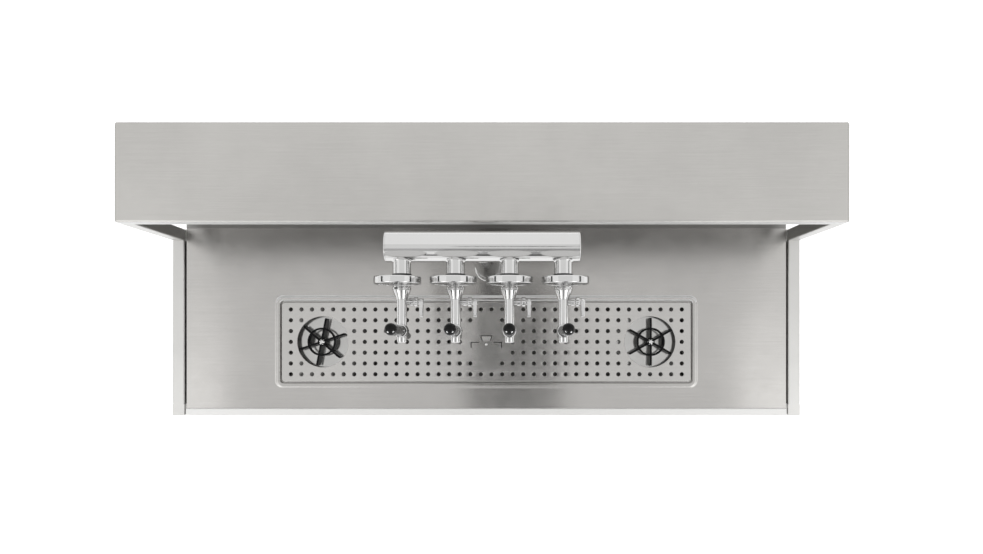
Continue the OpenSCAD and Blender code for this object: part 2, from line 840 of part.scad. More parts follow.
// Domed spray nozzle on its stem
module nozzle() {
    stem_r = nozzle_stem_d / 2;
    stem_foot = tray_floor - stem_depth - star_top;
    dome_r = nozzle_d / 2;
    dome_h = (hub_drop - edge) / 2;
    color("gainsboro") rotate_extrude() polygon(concat(
        [[0, stem_foot], [stem_r, stem_foot], [stem_r, -hub_drop], [dome_r, -hub_drop]],
        [for (i = [0:arc_steps]) let (a = 90 * i / arc_steps)
            [dome_r * cos(a), dome_h * (1 + sin(a)) - hub_drop]]));
}

module left_nozzle() {
    translate([-rinser_x, tray_y, star_top]) nozzle();
}

module right_nozzle() {
    translate([rinser_x, tray_y, star_top]) nozzle();
}

// Places its children on each tap's axis, over the column's axis
module at_taps() {
    for (x = tap_x) translate([x, tower_y, tap_z]) children();
}

// Turns +Z towards the operator, from a distance u in front of the column's axis
module forward(u) {
    translate([0, -u, 0]) rotate([90, 0, 0]) children();
}

// Welded column, manifold and tap stubs
module tower() {
    pipe_l = manifold_l - 2 * cap_t;
    column_l = tap_z - column_foot;
    color("gainsboro") difference() {
        union() {
            translate([tower_x, tower_y, column_foot]) cylinder(h = column_l, d = column_d);
            translate([tower_x, tower_y, tap_z]) rotate([0, 90, 0])
                cylinder(h = pipe_l, d = manifold_d, center = true);
            at_taps() forward(0) cylinder(h = stub_reach, d = stub_d);
        }
        translate([tower_x, tower_y, column_foot - over]) cylinder(h = column_l + over, r = column_in);
        translate([tower_x, tower_y, tap_z]) rotate([0, 90, 0])
            cylinder(h = pipe_l + 2 * over, r = manifold_in, center = true);
        at_taps() forward(0) cylinder(h = stub_reach + over, d = stub_d - 2 * stub_wall);
    }
}

module manifold_caps() {
    r = manifold_d / 2;
    plug_r = manifold_in - hole_gap;
    plug_top = cap_t + cap_plug;
    color("gainsboro") for (s = [-1, 1]) translate([tower_x + s * manifold_l / 2, tower_y, tap_z])
        rotate([0, -90 * s, 0]) rotate_extrude() polygon([[0, 0], [r - edge, 0], [r, edge], [r, cap_t],
            [plug_r, cap_t], [plug_r, plug_top], [0, plug_top]]);
}

module tower_collar() {
    inner = column_d / 2 + hole_gap;
    outer = column_d / 2 + collar_w;
    round_r = 2;
    color("gainsboro") translate([tower_x, tower_y, surface]) rotate_extrude() polygon(concat(
        [[inner, 0], [outer, 0]], arc([outer - round_r, collar_h - round_r], round_r, 0, 90),
        [[inner, collar_h]]));
}

// Plate around the column that fills the strip between the drip tray and the rear cross rail
module backing_plate() {
    margin = 40;
    corner = 10;
    y0 = tray_back + sheet + backing_gap;
    y1 = shelf_front_y - backing_gap;
    color("silver") translate([0, 0, underside - backing_t]) linear_extrude(backing_t) difference() {
        translate([tower_x, (y0 + y1) / 2]) polygon(rounded(column_d + 2 * margin, y1 - y0, corner));
        translate([tower_x, tower_y]) circle(d = column_d + 2 * hole_gap);
    }
}

module clamp_nut() {
    notches = 8;
    notch_r = 4;
    outer = column_d / 2 + clamp_nut_w;
    color("silver") translate([tower_x, tower_y, underside - backing_t - clamp_nut_t]) difference() {
        cylinder(h = clamp_nut_t, r = outer);
        translate([0, 0, -over]) cylinder(h = clamp_nut_t + 2 * over, d = column_d + 2 * hole_gap);
        for (i = [0:notches - 1]) rotate(i * 360 / notches) translate([outer, 0, -over])
            cylinder(h = clamp_nut_t + 2 * over, r = notch_r);
    }
}

// Quarter bend that turns from +Z towards +X, starting at the origin
module bend(r) {
    translate([line_bend, 0, 0]) rotate([90, 0, 180]) rotate_extrude(angle = 90)
        translate([line_bend, 0]) circle(r = r);
}

// Beer line from a tap's tail, at x from the column's axis, into the manifold, along it and down the column
module beer_line(x, r, extra) {
    s = sign(x);
    deep = abs(x) > tap_pitch ? 1 : -1;
    run_y = tower_y + deep * line_offset;
    start_y = tower_y - tail_u;
    down_z = tap_z - line_bend;
    translate([x, start_y - extra, tap_z]) rotate([-90, 0, 0])
        cylinder(h = run_y - line_bend - start_y + extra, r = r);
    translate([x, run_y - line_bend, tap_z]) rotate([0, s > 0 ? 180 : 0, 0])
        rotate([-90, 0, 0]) bend(r);
    translate([s * (line_offset + line_bend), run_y, tap_z]) rotate([0, 90 * s, 0])
        cylinder(h = abs(x) - line_offset - 2 * line_bend, r = r);
    translate([s * line_offset, run_y, down_z]) rotate(s < 0 ? 180 : 0) bend(r);
    translate([s * line_offset, run_y, column_foot - extra])
        cylinder(h = down_z - column_foot + extra, r = r);
}

module beer_lines() {
    color("gainsboro") translate([tower_x, 0, 0]) for (x = tap_x) difference() {
        beer_line(x - tower_x, line_d / 2, 0);
        beer_line(x - tower_x, line_d / 2 - line_wall, over);
    }
}

// Places its children on the beer lines' axes in the column
module at_lines() {
    for (x = [-line_offset, line_offset], y = [-line_offset, line_offset])
        translate([tower_x + x, tower_y + y, column_foot]) children();
}

module line_bush() {
    color("#202020") difference() {
        translate([tower_x, tower_y, column_foot]) cylinder(h = bush_l, r = column_in - hole_gap);
        at_lines() translate([0, 0, -over]) cylinder(h = bush_l + 2 * over, d = line_d + 2 * hole_gap);
    }
}

// Hose barbs under the beer lines
module hose_barbs() {
    stem_r = line_d / 2 - barb_rise;
    flange_r = line_d / 2 + barb_flange;
    first = barb_l - barb_count * barb_step;
    color("silver") at_lines() mirror([0, 0, 1]) difference() {
        rotate_extrude() polygon(concat(
            [[0, 0], [flange_r, 0], [flange_r, barb_flange_t], [stem_r, barb_flange_t]],
            [for (i = [0:barb_count - 1], p = [[0, 0], [barb_rise, 0], [0, barb_step - edge]])
                [stem_r + p[0], first + i * barb_step + p[1]]],
            [[stem_r, barb_l], [0, barb_l]]));
        translate([0, 0, -over])
            cylinder(h = barb_l + 2 * over, r = line_d / 2 - line_wall - barb_wall);
    }
}

// Flat ring around a tap's axis
module tap_ring(u, t, r) {
    forward(u) difference() {
        cylinder(h = t, r = r);
        translate([0, 0, -over]) cylinder(h = t + 2 * over, r = tail_d / 2 + hole_gap);
    }
}

module tap_seals() {
    color("#202020") at_taps() tap_ring(seal_u, seal_t, ring_r);
}

// Blank badge disc with round edges and a dished front, above the ring between a seal and its coupling nut
module tap_discs() {
    r = disc_d / 2;
    dish_r = r - disc_rim;
    color("gainsboro") at_taps() {
        tap_ring(disc_u, disc_step + disc_t, ring_r);
        difference() {
            translate([0, 0, disc_rise]) forward(disc_u + disc_step) rotate_extrude() polygon(concat(
                [[0, 0]], arc([r - disc_edge, disc_edge], disc_edge, -90, 0),
                arc([r - disc_edge, disc_t - disc_edge], disc_edge, 0, 90),
                [[dish_r, disc_t], [dish_r - disc_dish, disc_t - disc_dish], [0, disc_t - disc_dish]]));
            forward(disc_u) cylinder(h = disc_step + disc_t + over, r = ring_r - edge);
        }
    }
}

// Round coupling nut with a neck and flats for a spanner
module coupling_nuts() {
    r = nut_d / 2;
    neck_r = r - nut_step;
    hole = tail_d / 2 + hole_gap;
    color("gainsboro") at_taps() forward(nut_u) difference() {
        rotate_extrude() polygon([[hole, 0], [neck_r, 0], [neck_r, nut_neck], [r - edge, nut_neck],
            [r, nut_neck + edge], [r, nut_l - edge], [r - edge, nut_l], [hole, nut_l]]);
        for (a = [0:60:300]) rotate(a) translate([r - nut_flat, -r, nut_neck])
            cube([r, nut_d, nut_l]);
    }
}

// Outline of a tap's tail, cone, barrel and front cap, from its axis outwards
function barrel_profile() = let (tail_r = tail_d / 2, barrel_r = barrel_d / 2, nose_r = nose_d / 2)
    [[0, tail_u], [tail_r, tail_u], [tail_r, cone_u], [cone_r, cone_u], [cone_r, cone_u + cone_land],
        [barrel_r + edge, barrel_u - cone_land], [barrel_r, barrel_u], [barrel_r, head_u], [nose_r, head_u],
        [nose_r, head_u + nose_l - nose_edge], [nose_r - nose_edge, head_u + nose_l], [0, head_u + nose_l]];

// Outline of a valve head: round below, with a bevelled rim above
function head_profile() = let (r = head_d / 2) concat(
    [[0, -head_drop - r]],
    [for (i = [1:arc_steps]) let (a = 90 * i / arc_steps - 90) [r * cos(a), r * sin(a) - head_drop]],
    [[r, head_top - head_edge], [r - head_edge, head_top], [0, head_top]]);

// Turns +Z down a spout's axis, from the valve head's axis
module down_spout() {
    translate([0, -head_u, 0]) rotate([180 - spout_lean, 0, 0]) children();
}

// Tap without its spout: tail, cone, barrel, valve head, front cap, spout boss and flow boss
module tap_body(i) {
    gland_x = flow_boss_l - gland_l;
    color("gainsboro") translate([tap_x[i], tower_y, tap_z]) difference() {
        union() {
            forward(0) rotate_extrude() polygon(barrel_profile());
            translate([0, -head_u, 0]) rotate_extrude() polygon(head_profile());
            down_spout() cylinder(h = spout_boss_l, d = spout_boss_d);
            translate([0, -flow_u, 0]) rotate([0, 90, 0]) {
                cylinder(h = gland_x, d = flow_boss_d);
                translate([0, 0, gland_x]) cylinder(h = gland_l, d = gland_d);
            }
        }
        forward(tail_u - over) cylinder(h = head_u - tail_u + over, d = beer_bore);
        down_spout() cylinder(h = spout_boss_l + over, d = spout_bore);
        translate([0, -head_u, cup_floor]) cylinder(h = head_top, r = cup_r);
        translate([-handle_slot_w / 2, -head_u - head_d, pivot_rise + over])
            cube([handle_slot_w, head_d, head_top]);
        translate([0, -head_u, pivot_rise]) rotate([0, 90, 0])
            cylinder(h = head_d + 2 * over, r = pin_d / 2 + running_gap, center = true);
        translate([flow_boss_l - flow_bore_l, -flow_u, 0]) rotate([0, 90, 0])
            cylinder(h = flow_bore_l + over, r = flow_shaft_d / 2 + running_gap);
    }
}

module tap_body_1() { tap_body(0); }
module tap_body_2() { tap_body(1); }
module tap_body_3() { tap_body(2); }
module tap_body_4() { tap_body(3); }

module pivot_pins() {
    color("silver") at_taps() translate([0, -head_u, pivot_rise]) rotate([0, 90, 0])
        cylinder(h = head_d - 2 * pin_set, d = pin_d, center = true);
}

// Tapered spout with a collar, screwed to its boss
module spouts() {
    collar_r = spout_d / 2;
    root_r = collar_r - 1.5 * edge;
    tip_r = spout_tip_d / 2;
    color("gainsboro") at_taps() down_spout() translate([0, 0, spout_boss_l]) difference() {
        rotate_extrude() polygon([[0, 0], [collar_r - edge, 0], [collar_r, edge],
            [collar_r, spout_collar - edge], [collar_r - edge, spout_collar], [root_r, spout_collar],
            [tip_r, spout_l - edge], [tip_r - edge, spout_l], [0, spout_l]]);
        translate([0, 0, -over]) cylinder(h = spout_l + 2 * over, d = spout_bore);
    }
}

// Places its children on a handle's pivot
module at_pivot(i) {
    translate([tap_x[i], tower_y - head_u, tap_z + pivot_rise]) children();
}

// Stem with the eye that turns on the pivot pin and a ferrule under the knob
module handle_stem(i) {
    base = knob_base - pivot_rise;
    color("gainsboro") at_pivot(i) difference() {
        union() {
            rotate([0, 90, 0]) cylinder(h = eye_w, d = eye_d, center = true);
            cylinder(h = base + knob_bore_l - end_gap, d = stem_d);
            translate([0, 0, base - ferrule_l]) cylinder(h = ferrule_l, d = ferrule_d);
        }
        rotate([0, 90, 0])
            cylinder(h = eye_w + 2 * over, r = pin_d / 2 + running_gap, center = true);
    }
}

module handle_stem_1() { handle_stem(0); }
module handle_stem_2() { handle_stem(1); }
module handle_stem_3() { handle_stem(2); }
module handle_stem_4() { handle_stem(3); }

// Long rounded knob that swells from its neck to a domed top
module knob(i) {
    r = knob_d / 2;
    neck = knob_neck_d / 2;
    bore = stem_d / 2 + running_gap;
    body_l = knob_l - r;
    color("#101010") at_pivot(i) translate([0, 0, knob_base - pivot_rise]) rotate_extrude() polygon(concat(
        [[bore, 0], [neck - edge, 0]],
        [for (k = [0:arc_steps]) let (t = k / arc_steps)
            [neck + (r - neck) * sin(90 * t), edge + (body_l - edge) * t]],
        [for (k = [1:arc_steps]) let (a = 90 * k / arc_steps) [r * cos(a), body_l + r * sin(a)]],
        [[0, knob_bore_l], [bore, knob_bore_l]]));
}

module knob_1() { knob(0); }
module knob_2() { knob(1); }
module knob_3() { knob(2); }
module knob_4() { knob(3); }

// Side lever that sets the flow, on a shaft in the tap's boss
module flow_lever(i) {
    shaft_in = flow_bore_l - end_gap;
    hub_x = flow_boss_l + moving_gap;
    bar_x = hub_x + lever_shoulder;
    hub_l = lever_shoulder + flow_lever_w + edge;
    color("gainsboro") translate([tap_x[i], tower_y - flow_u, tap_z]) {
        translate([flow_boss_l - shaft_in, 0, 0]) rotate([0, 90, 0])
            cylinder(h = shaft_in + moving_gap + edge, d = flow_shaft_d);
        translate([hub_x, 0, 0]) rotate([0, 90, 0]) cylinder(h = hub_l, d = lever_hub_d);
        translate([bar_x + flow_lever_w / 2, 0, 0]) along_x(flow_lever_w)
            mirror([1, 0]) polygon(link(flow_lever_l, lever_root_d / 2, lever_tip_d / 2));
    }
}

module flow_lever_1() { flow_lever(0); }
module flow_lever_2() { flow_lever(1); }
module flow_lever_3() { flow_lever(2); }
module flow_lever_4() { flow_lever(3); }

front_posts();
rear_posts();
upper_side_rails();
lower_side_rails();
upper_cross_rails();
lower_cross_rails();
worktop_bearers();
post_plugs();
levelling_feet();
foot_lock_nuts();
shelf_arms();
shelf_beam();
shelf_brackets();
bar_shelf();
worktop();
splash_panel();
customer_panel();
left_side_panel();
right_side_panel();
bottom_shelf();
drip_tray();
drain_outlet();
drain_nut();
grille();
grille_grip();
rinser_valves();
rinser_nuts();
left_rinser_star();
right_rinser_star();
left_nozzle();
right_nozzle();
tower();
manifold_caps();
tower_collar();
backing_plate();
clamp_nut();
beer_lines();
line_bush();
hose_barbs();
tap_seals();
tap_discs();
coupling_nuts();
pivot_pins();
spouts();
tap_body_1();
tap_body_2();
tap_body_3();
tap_body_4();
handle_stem_1();
handle_stem_2();
handle_stem_3();
handle_stem_4();
knob_1();
knob_2();
knob_3();
knob_4();
flow_lever_1();
flow_lever_2();
flow_lever_3();
flow_lever_4();
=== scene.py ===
"""Finished pieces, materials and stage of a beer dispensing counter, built in metres around its frame."""

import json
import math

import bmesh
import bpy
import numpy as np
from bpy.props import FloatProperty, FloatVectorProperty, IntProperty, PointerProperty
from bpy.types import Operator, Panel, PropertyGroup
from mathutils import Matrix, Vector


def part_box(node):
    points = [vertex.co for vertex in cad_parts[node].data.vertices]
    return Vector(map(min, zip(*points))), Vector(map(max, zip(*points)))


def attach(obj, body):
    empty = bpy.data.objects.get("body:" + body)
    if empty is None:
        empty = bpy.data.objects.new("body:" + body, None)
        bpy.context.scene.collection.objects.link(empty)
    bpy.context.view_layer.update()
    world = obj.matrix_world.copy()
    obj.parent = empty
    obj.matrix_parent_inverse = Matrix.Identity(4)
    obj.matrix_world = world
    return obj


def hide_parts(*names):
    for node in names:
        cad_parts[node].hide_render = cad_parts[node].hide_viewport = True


bl_info = {
    "name": "Beer Counter Finisher",
    "version": (1, 0, 0),
    "blender": (4, 5, 0),
    "location": "3D View > Sidebar > Counter",
    "description": "Builds the finished pieces, materials and stage of a beer dispensing counter",
    "category": "Object",
}

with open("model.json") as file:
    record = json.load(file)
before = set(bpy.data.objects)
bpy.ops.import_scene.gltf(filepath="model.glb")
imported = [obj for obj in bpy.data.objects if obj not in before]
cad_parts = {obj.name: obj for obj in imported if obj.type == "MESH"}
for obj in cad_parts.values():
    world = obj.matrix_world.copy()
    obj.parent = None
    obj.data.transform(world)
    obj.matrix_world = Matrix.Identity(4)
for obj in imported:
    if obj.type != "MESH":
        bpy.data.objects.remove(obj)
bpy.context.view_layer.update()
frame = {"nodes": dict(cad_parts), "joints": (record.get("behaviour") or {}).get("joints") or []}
MM = 0.001

JOINTS = {joint["name"]: joint for joint in frame["joints"]}
TAPS = (1, 2, 3, 4)
PIVOTS = {i: np.array(JOINTS[f"handle_{i}_swing"]["pos_m"]) for i in TAPS}
FLOW_AXES = {i: np.array(JOINTS[f"flow_{i}_turn"]["pos_m"]) for i in TAPS}
TAP_Z = FLOW_AXES[1][2]

RIGHT, BACK, UP = np.eye(3)
LEFT, OPERATOR = -RIGHT, -BACK


def extent(node):
    """Lowest and highest corner of a node of the frame, as arrays."""
    low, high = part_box(node)
    return np.array(low), np.array(high)


def middle(node):
    """Middle of a node's box."""
    low, high = extent(node)
    return (low + high) / 2


SHELF = extent("bar_shelf")
TRAY = extent("drip_tray")
GRILLE = extent("grille")
COLLAR = extent("tower_collar")
TOWER = extent("tower")
CAPS = extent("manifold_caps")
SEALS = extent("tap_seals")
DISCS = extent("tap_discs")
NUTS = extent("coupling_nuts")
TRAY_MIDDLE = middle("drip_tray")
TOWER_X, TOWER_Y = middle("tower_collar")[:2]
RINSER_X = abs(middle("left_nozzle")[0])
SURFACE = COLLAR[0][2]
RIM_DEPTH = 0.018
WELL_RADIUS = 78 * MM


def number(name, text, value, unit="NONE"):
    """A number that a user may change."""
    return FloatProperty(name=name, description=text, default=value, unit=unit, precision=4)


def length(name, text, value):
    """A length in metres that a user may change."""
    return number(name, text, value, "LENGTH")


def lengths(name, text, values):
    """A place, or the sides of a lamp, in metres that a user may change."""
    return FloatVectorProperty(name=name, description=text, default=values, size=len(values), unit="LENGTH")


def colour(name, text, value):
    """A linear colour that a user may change."""
    return FloatVectorProperty(name=name, description=text, default=value, subtype="COLOR", min=0, max=1)


class SheetSizes(PropertyGroup):
    """Folded sheets: the bar shelf and the drip tray."""
    shelf_sheet: length("Shelf sheet", "Thickness of the bar shelf's sheet", 0.002)
    shelf_edge: length("Shelf edge", "Radius of the bar shelf's upper edges", 0.004)
    shelf_corner: length("Shelf corner", "Radius of the bar shelf's corners in plan", 0.005)
    sheet: length("Sheet", "Thickness of the drip tray's sheet", 0.0015)
    flange: length("Flange", "Width of the drip tray's flange", 0.014)
    flange_slope: length("Flange slope", "Width of the pressed slope along the flange's outer edge", 0.006)
    mouth_corner: length("Mouth corner", "Corner radius of the drip tray's mouth", 0.007)
    mouth_edge: length("Mouth edge", "Radius of the bend from the flange into the mouth", 0.0025)
    ledge: length("Ledge", "Width and depth of the ledge under the grille", 0.010)
    floor_bend: length("Floor bend", "Radius of the bend between the tray's wall and floor", 0.0018)


class GrilleSizes(PropertyGroup):
    """Perforated grille with its lifting tab."""
    sheet: length("Sheet", "Thickness of the grille", 0.002)
    corner: length("Corner", "Corner radius of the grille", 0.0086)
    hole: length("Hole", "Diameter of the drain holes", 0.0105)
    lip: length("Lip", "Bevel around each drain hole", 0.0004)
    pitch_x: length("Pitch X", "Distance between columns of drain holes", 0.027)
    pitch_y: length("Pitch Y", "Distance between rows of drain holes", 0.0276)
    margin: length("Margin", "Least distance from a hole's centre to the edge", 0.018)
    plain: length("Plain middle", "Radius of the plain middle", 0.064)
    rinser: length("Rinser opening", "Diameter of the rinser openings", 0.130)
    bridge: length("Bridge", "Least metal between a drain hole and a rinser opening", 0.002)
    tab: length("Tab", "Width of the lifting tab", 0.080)
    tab_leg: length("Tab leg", "Length of the slots along the tab's sides", 0.015)
    tab_arm: length("Tab arm", "Length of the slots along the tab's end", 0.0215)
    slot: length("Slot", "Width of the slots and of the gap around the finger tongue", 0.0024)
    tongue_far: length("Tongue far end", "Width of the finger tongue's opening at its far end", 0.031)
    tongue_foot: length("Tongue foot", "Width of the finger tongue's opening at its foot", 0.022)
    tongue: length("Tongue", "Length of the finger tongue's opening", 0.014)
    tongue_rise: length("Tongue rise", "Height of the finger tongue's far end above the grille", 0.005)
    bead: length("Bead", "Diameter of the rivet head", 0.007)


class RinserSizes(PropertyGroup):
    """Glass rinsers: stars and spray nozzles."""
    arms: IntProperty(name="Arms", description="Number of arms of a star", default=6, min=3)
    star: length("Star", "Radius of a star", 0.061)
    arm: length("Arm", "Thickness of an arm", 0.005)
    arm_height: length("Arm height", "Height of an arm", 0.040)
    ring: length("Ring", "Outer radius of a star's ring", 0.036)
    ring_wall: length("Ring wall", "Thickness of a star's ring", 0.0045)
    hub: length("Hub", "Radius of a star's hub", 0.011)
    leg: length("Leg", "Width of a guide leg", 0.028)
    edge: length("Edge", "Rounding of the moulded edges", 0.0007)
    left_turn: number("Left turn", "Turn of the left star about its own axis", math.radians(-11), "ROTATION")


class TowerSizes(PropertyGroup):
    """Column, manifold and stubs."""
    column: length("Column", "Radius of the column", 0.03015)
    stub: length("Stub", "Radius of the tap stubs", 0.018)
    weld: length("Weld", "Size of the weld fillets around the stubs", 0.003)
    bead: length("Weld bead", "Radius of the weld bead under the manifold", 0.0014)
    collar_edge: length("Collar edge", "Rounding of the collar's rim", 0.0022)


class TapSizes(PropertyGroup):
    """Taps: discs, nuts, bodies and spouts."""
    tail: length("Tail", "Radius of a tap's tail and of the holes that it passes", 0.0062)
    disc_step: length("Disc step", "Distance from a disc's face to the back of its ring", 0.005)
    disc_edge: length("Disc edge", "Rounding of a badge disc's rim", 0.0022)
    disc_rim: length("Disc rim", "Width of the raised rim of a badge disc", 0.004)
    disc_dish: length("Disc dish", "Depth of the blank dished face of a badge disc", 0.001)
    nut_flat: length("Nut flat", "Depth of the flats on a coupling nut", 0.0008)
    nut_neck: length("Nut neck", "Length of a coupling nut's neck", 0.002)
    cone: length("Cone", "Length of a tap's cone", 0.021)
    cone_radius: length("Cone radius", "Radius of a cone at the nut", 0.0182)
    barrel: length("Barrel", "Radius of a tap's barrel", 0.0104)
    head: length("Head", "Radius of a valve head", 0.0135)
    head_top: length("Head top", "Height of a valve head above the tap's axis", 0.026)
    head_drop: length("Head drop", "Depth of a head's round bottom below the tap's axis", 0.003)
    nose: length("Front cap", "Radius of the cap in front of a valve head", 0.0098)
    nose_length: length("Front cap length", "Distance from a valve head's axis to the cap's face", 0.024)
    cup: length("Cup", "Radius of the cup in a valve head", 0.009)
    cup_floor: length("Cup floor", "Height of the cup's floor above the tap's axis", 0.009)
    slot: length("Slot", "Width of the handle's slot in a valve head", 0.010)
    slot_floor: length("Slot floor", "Height of the slot's floor above the tap's axis", 0.018)
    boss: length("Spout boss", "Radius of the spout's boss", 0.009)
    boss_length: length("Boss length", "Length of the spout's boss", 0.019)
    spout: length("Spout", "Radius of a spout's collar", 0.0095)
    spout_tip: length("Spout tip", "Radius of a spout's tip", 0.0075)
    spout_bore: length("Spout bore", "Radius of a spout's bore", 0.005)
    spout_collar: length("Spout collar", "Length of a spout's collar", 0.008)
    spout_length: length("Spout length", "Length of a spout", 0.067)
    lean: number("Lean", "Lean of a spout towards the operator", math.radians(6), "ROTATION")
    flow_boss: length("Flow boss", "Radius of the flow lever's boss", 0.008)
    gland: length("Gland", "Radius of the gland on the flow boss", 0.0095)
    gland_length: length("Gland length", "Length of the gland", 0.009)
    flow_reach: length("Flow reach", "Distance from the tap's axis to the gland's face", 0.033)


class HandleSizes(PropertyGroup):
    """Handles and flow levers."""
    eye: length("Eye", "Radius of a handle's eye", 0.0055)
    eye_width: length("Eye width", "Width of a handle's eye", 0.011)
    stem: length("Stem", "Radius of a handle's stem", 0.004)
    ferrule: length("Ferrule", "Radius of the ferrule under a knob", 0.006)
    ferrule_length: length("Ferrule length", "Length of the ferrule", 0.007)
    knob: length("Knob", "Radius of a knob", 0.0115)
    neck: length("Neck", "Radius of a knob's neck", 0.0105)
    pin: length("Pin", "Radius of a pivot pin", 0.002)
    lever: length("Lever", "Length of a flow lever", 0.027)
    lever_root: length("Lever root", "Radius of a flow lever's root", 0.007)
    lever_tip: length("Lever tip", "Radius of a flow lever's tip", 0.0035)
    lever_width: length("Lever width", "Thickness of a flow lever's bar", 0.0075)
    lever_edge: length("Lever edge", "Rounding of a flow lever's rims", 0.0015)
    lever_hub: length("Lever hub", "Radius of a flow lever's hub", 0.006)


class FinishColours(PropertyGroup):
    """Colours of the metals and plastics."""
    brushed: colour("Brushed steel", "Worktop and panels", (0.455, 0.445, 0.43))
    shelf: colour("Shelf steel", "Bar shelf", (0.515, 0.505, 0.485))
    # Underside tone: dark painted shade under the bar shelf and the grille
    under: colour("Underside", "Dull underside of the bar shelf", (0.13, 0.13, 0.125))
    # Splash tone: darker as painted shade under the bar shelf
    splash: colour("Splash steel", "Splash panel under the shelf", (0.32, 0.315, 0.305))
    # Rim tone: a pale painted highlight, used on the worktop's front strip and on the folds
    rim: colour("Rim steel", "Front rim of the worktop", (0.92, 0.915, 0.90))
    tray: colour("Tray steel", "Drip tray", (0.50, 0.49, 0.475))
    # Paler tone: painted light in the tray under the rinser openings and on the valve seats
    well: colour("Rinsed steel", "Dull pale tray floor under the rinsers", (0.62, 0.615, 0.60))
    grille: colour("Grille steel", "Perforated grille", (0.50, 0.49, 0.475))
    tube: colour("Frame steel", "Square tubes of the frame", (0.58, 0.575, 0.56))
    polished: colour("Polished steel", "Tower and taps", (0.72, 0.71, 0.69))
    machined: colour("Machined steel", "Fittings under the worktop", (0.55, 0.54, 0.52))
    knob: colour("Knob", "Gloss black of the knobs", (0.003, 0.003, 0.003))
    star: colour("Star", "Moulded black of the rinser stars", (0.006, 0.006, 0.0065))
    rubber: colour("Rubber", "Seals", (0.012, 0.012, 0.012))
    plastic: colour("Grey plastic", "Nuts under the tray", (0.24, 0.24, 0.25))


class StageSettings(PropertyGroup):
    """Camera, lamps and floor."""
    camera: lengths("Camera", "Place of the camera, which looks straight down", (0.063, -0.1552, 2.929))
    lens: number("Lens", "Focal length in millimetres", 29.13)
    shift_x: number("Shift X", "Sideways shift of the view", -0.0198)
    shift_y: number("Shift Y", "Upward shift of the view", 0.0702)
    softbox: lengths("Softbox", "Sides of each softbox overhead", (1.5, 1.8))
    softbox_power: number("Softbox power", "Power of each softbox overhead", 5.5, "POWER")
    front_lamp: lengths("Front lamp", "Sides of each front lamp", (1.9, 1.3))
    front_power: number("Front lamp power", "Power of each front lamp", 9.0, "POWER")
    knob_lamp: lengths("Knob lamp", "Sides of each lamp for the knobs alone", (1.3, 1.3))
    knob_power: number("Knob lamp power", "Power of each lamp for the knobs alone", 400.0, "POWER")
    down_light: number("Down light", "Strength of the light from above", 2.6)
    down_angle: number("Down angle", "Spread of the light from above", math.radians(4), "ROTATION")
    fill: number("Fill", "Strength of the surrounding light", 0.08)
    floor: length("Floor", "Side of the floor", 16.0)
    glow: number("Glow", "Strength of the floor's glow", 0.45)


GROUPS = {
    "sheet_sizes": SheetSizes,
    "grille_sizes": GrilleSizes,
    "rinser_sizes": RinserSizes,
    "tower_sizes": TowerSizes,
    "tap_sizes": TapSizes,
    "handle_sizes": HandleSizes,
    "finish_colours": FinishColours,
    "stage_settings": StageSettings,
}


# Shapes

def filleted(corners, steps=6, closed=False):
    """Outline through (x, y, radius) corners. Each corner becomes an arc tangent to both its sides:
    its points are the spherical blend of the arc's two end radii about its centre.
    Radius 0 keeps a corner."""
    c = np.array(corners, float)
    if closed:
        c = np.concatenate([c[-1:], c, c[:1]])
    place, radius = c[:, :2], c[1:-1, 2:]
    back = place[:-2] - place[1:-1]
    fore = place[2:] - place[1:-1]
    back = back / np.linalg.norm(back, axis=1, keepdims=True)
    fore = fore / np.linalg.norm(fore, axis=1, keepdims=True)
    half = np.arccos(np.clip((back * fore).sum(1, keepdims=True), -1, 1)) / 2
    split = (back + fore) / np.linalg.norm(back + fore, axis=1, keepdims=True)
    centre = place[1:-1] + split * radius / np.sin(half)
    start = place[1:-1] + back * radius / np.tan(half) - centre
    end = place[1:-1] + fore * radius / np.tan(half) - centre
    turn = (np.pi - 2 * half)[:, None]
    k = np.linspace(0, 1, steps + 1)[None, :, None]
    blend = (np.sin((1 - k) * turn) * start[:, None] + np.sin(k * turn) * end[:, None]) / np.sin(turn)
    points = (centre[:, None] + blend).reshape(-1, 2)
    if not closed:
        points = np.concatenate([place[:1], points, place[-1:]])
    gaps = np.linalg.norm(np.diff(points, axis=0, prepend=points[-1:] if closed else points[:1] - 1), axis=1)
    return points[gaps > 1e-7]


def rounded(width, depth, corner, steps=8):
    """Counter-clockwise outline of a rectangle with round corners, centred."""
    w, d = width / 2, depth / 2
    return filleted([(w, -d, corner), (w, d, corner), (-w, d, corner), (-w, -d, corner)], steps, True)


def grid_quads(rows, columns):
    """Quads of a grid numbered row by row, where each row closes on itself."""
    i, j = np.meshgrid(np.arange(rows - 1), np.arange(columns), indexing="ij")
    k = (j + 1) % columns
    low, high = i * columns, (i + 1) * columns
    return np.stack([low + j, low + k, high + k, high + j], -1).reshape(-1, 4)


def loft(points, caps=True):
    """Shell through rows of points [row, column, xyz]: quads join the rows, and caps close the ends.
    It faces outwards when a row runs counter-clockwise seen from the last row."""
    rows, columns = points.shape[:2]
    faces = [grid_quads(rows, columns)]
    if caps:
        ring = np.arange(columns)
        faces += [ring[None, ::-1], ring[None] + (rows - 1) * columns]
    return points.reshape(-1, 3), faces


def lathe(profile, segments, closed=False, flat=None):
    """Shell turned about Z: a profile of (radius, height) points is carried round in equal steps.
    It runs out at the bottom, up the outside and in at the top; a closed one makes a ring.
    flat, a function of (radius, height, angle), may draw the radius in."""
    p = np.concatenate([profile, profile[:1]]) if closed else np.asarray(profile)
    angle = np.linspace(0, 2 * np.pi, segments, endpoint=False)[None]
    radius = np.repeat(p[:, :1], segments, 1)
    height = np.repeat(p[:, 1:], segments, 1)
    if flat:
        radius = flat(radius, height, angle)
    return loft(np.stack([radius * np.cos(angle), radius * np.sin(angle), height], -1), caps=False)


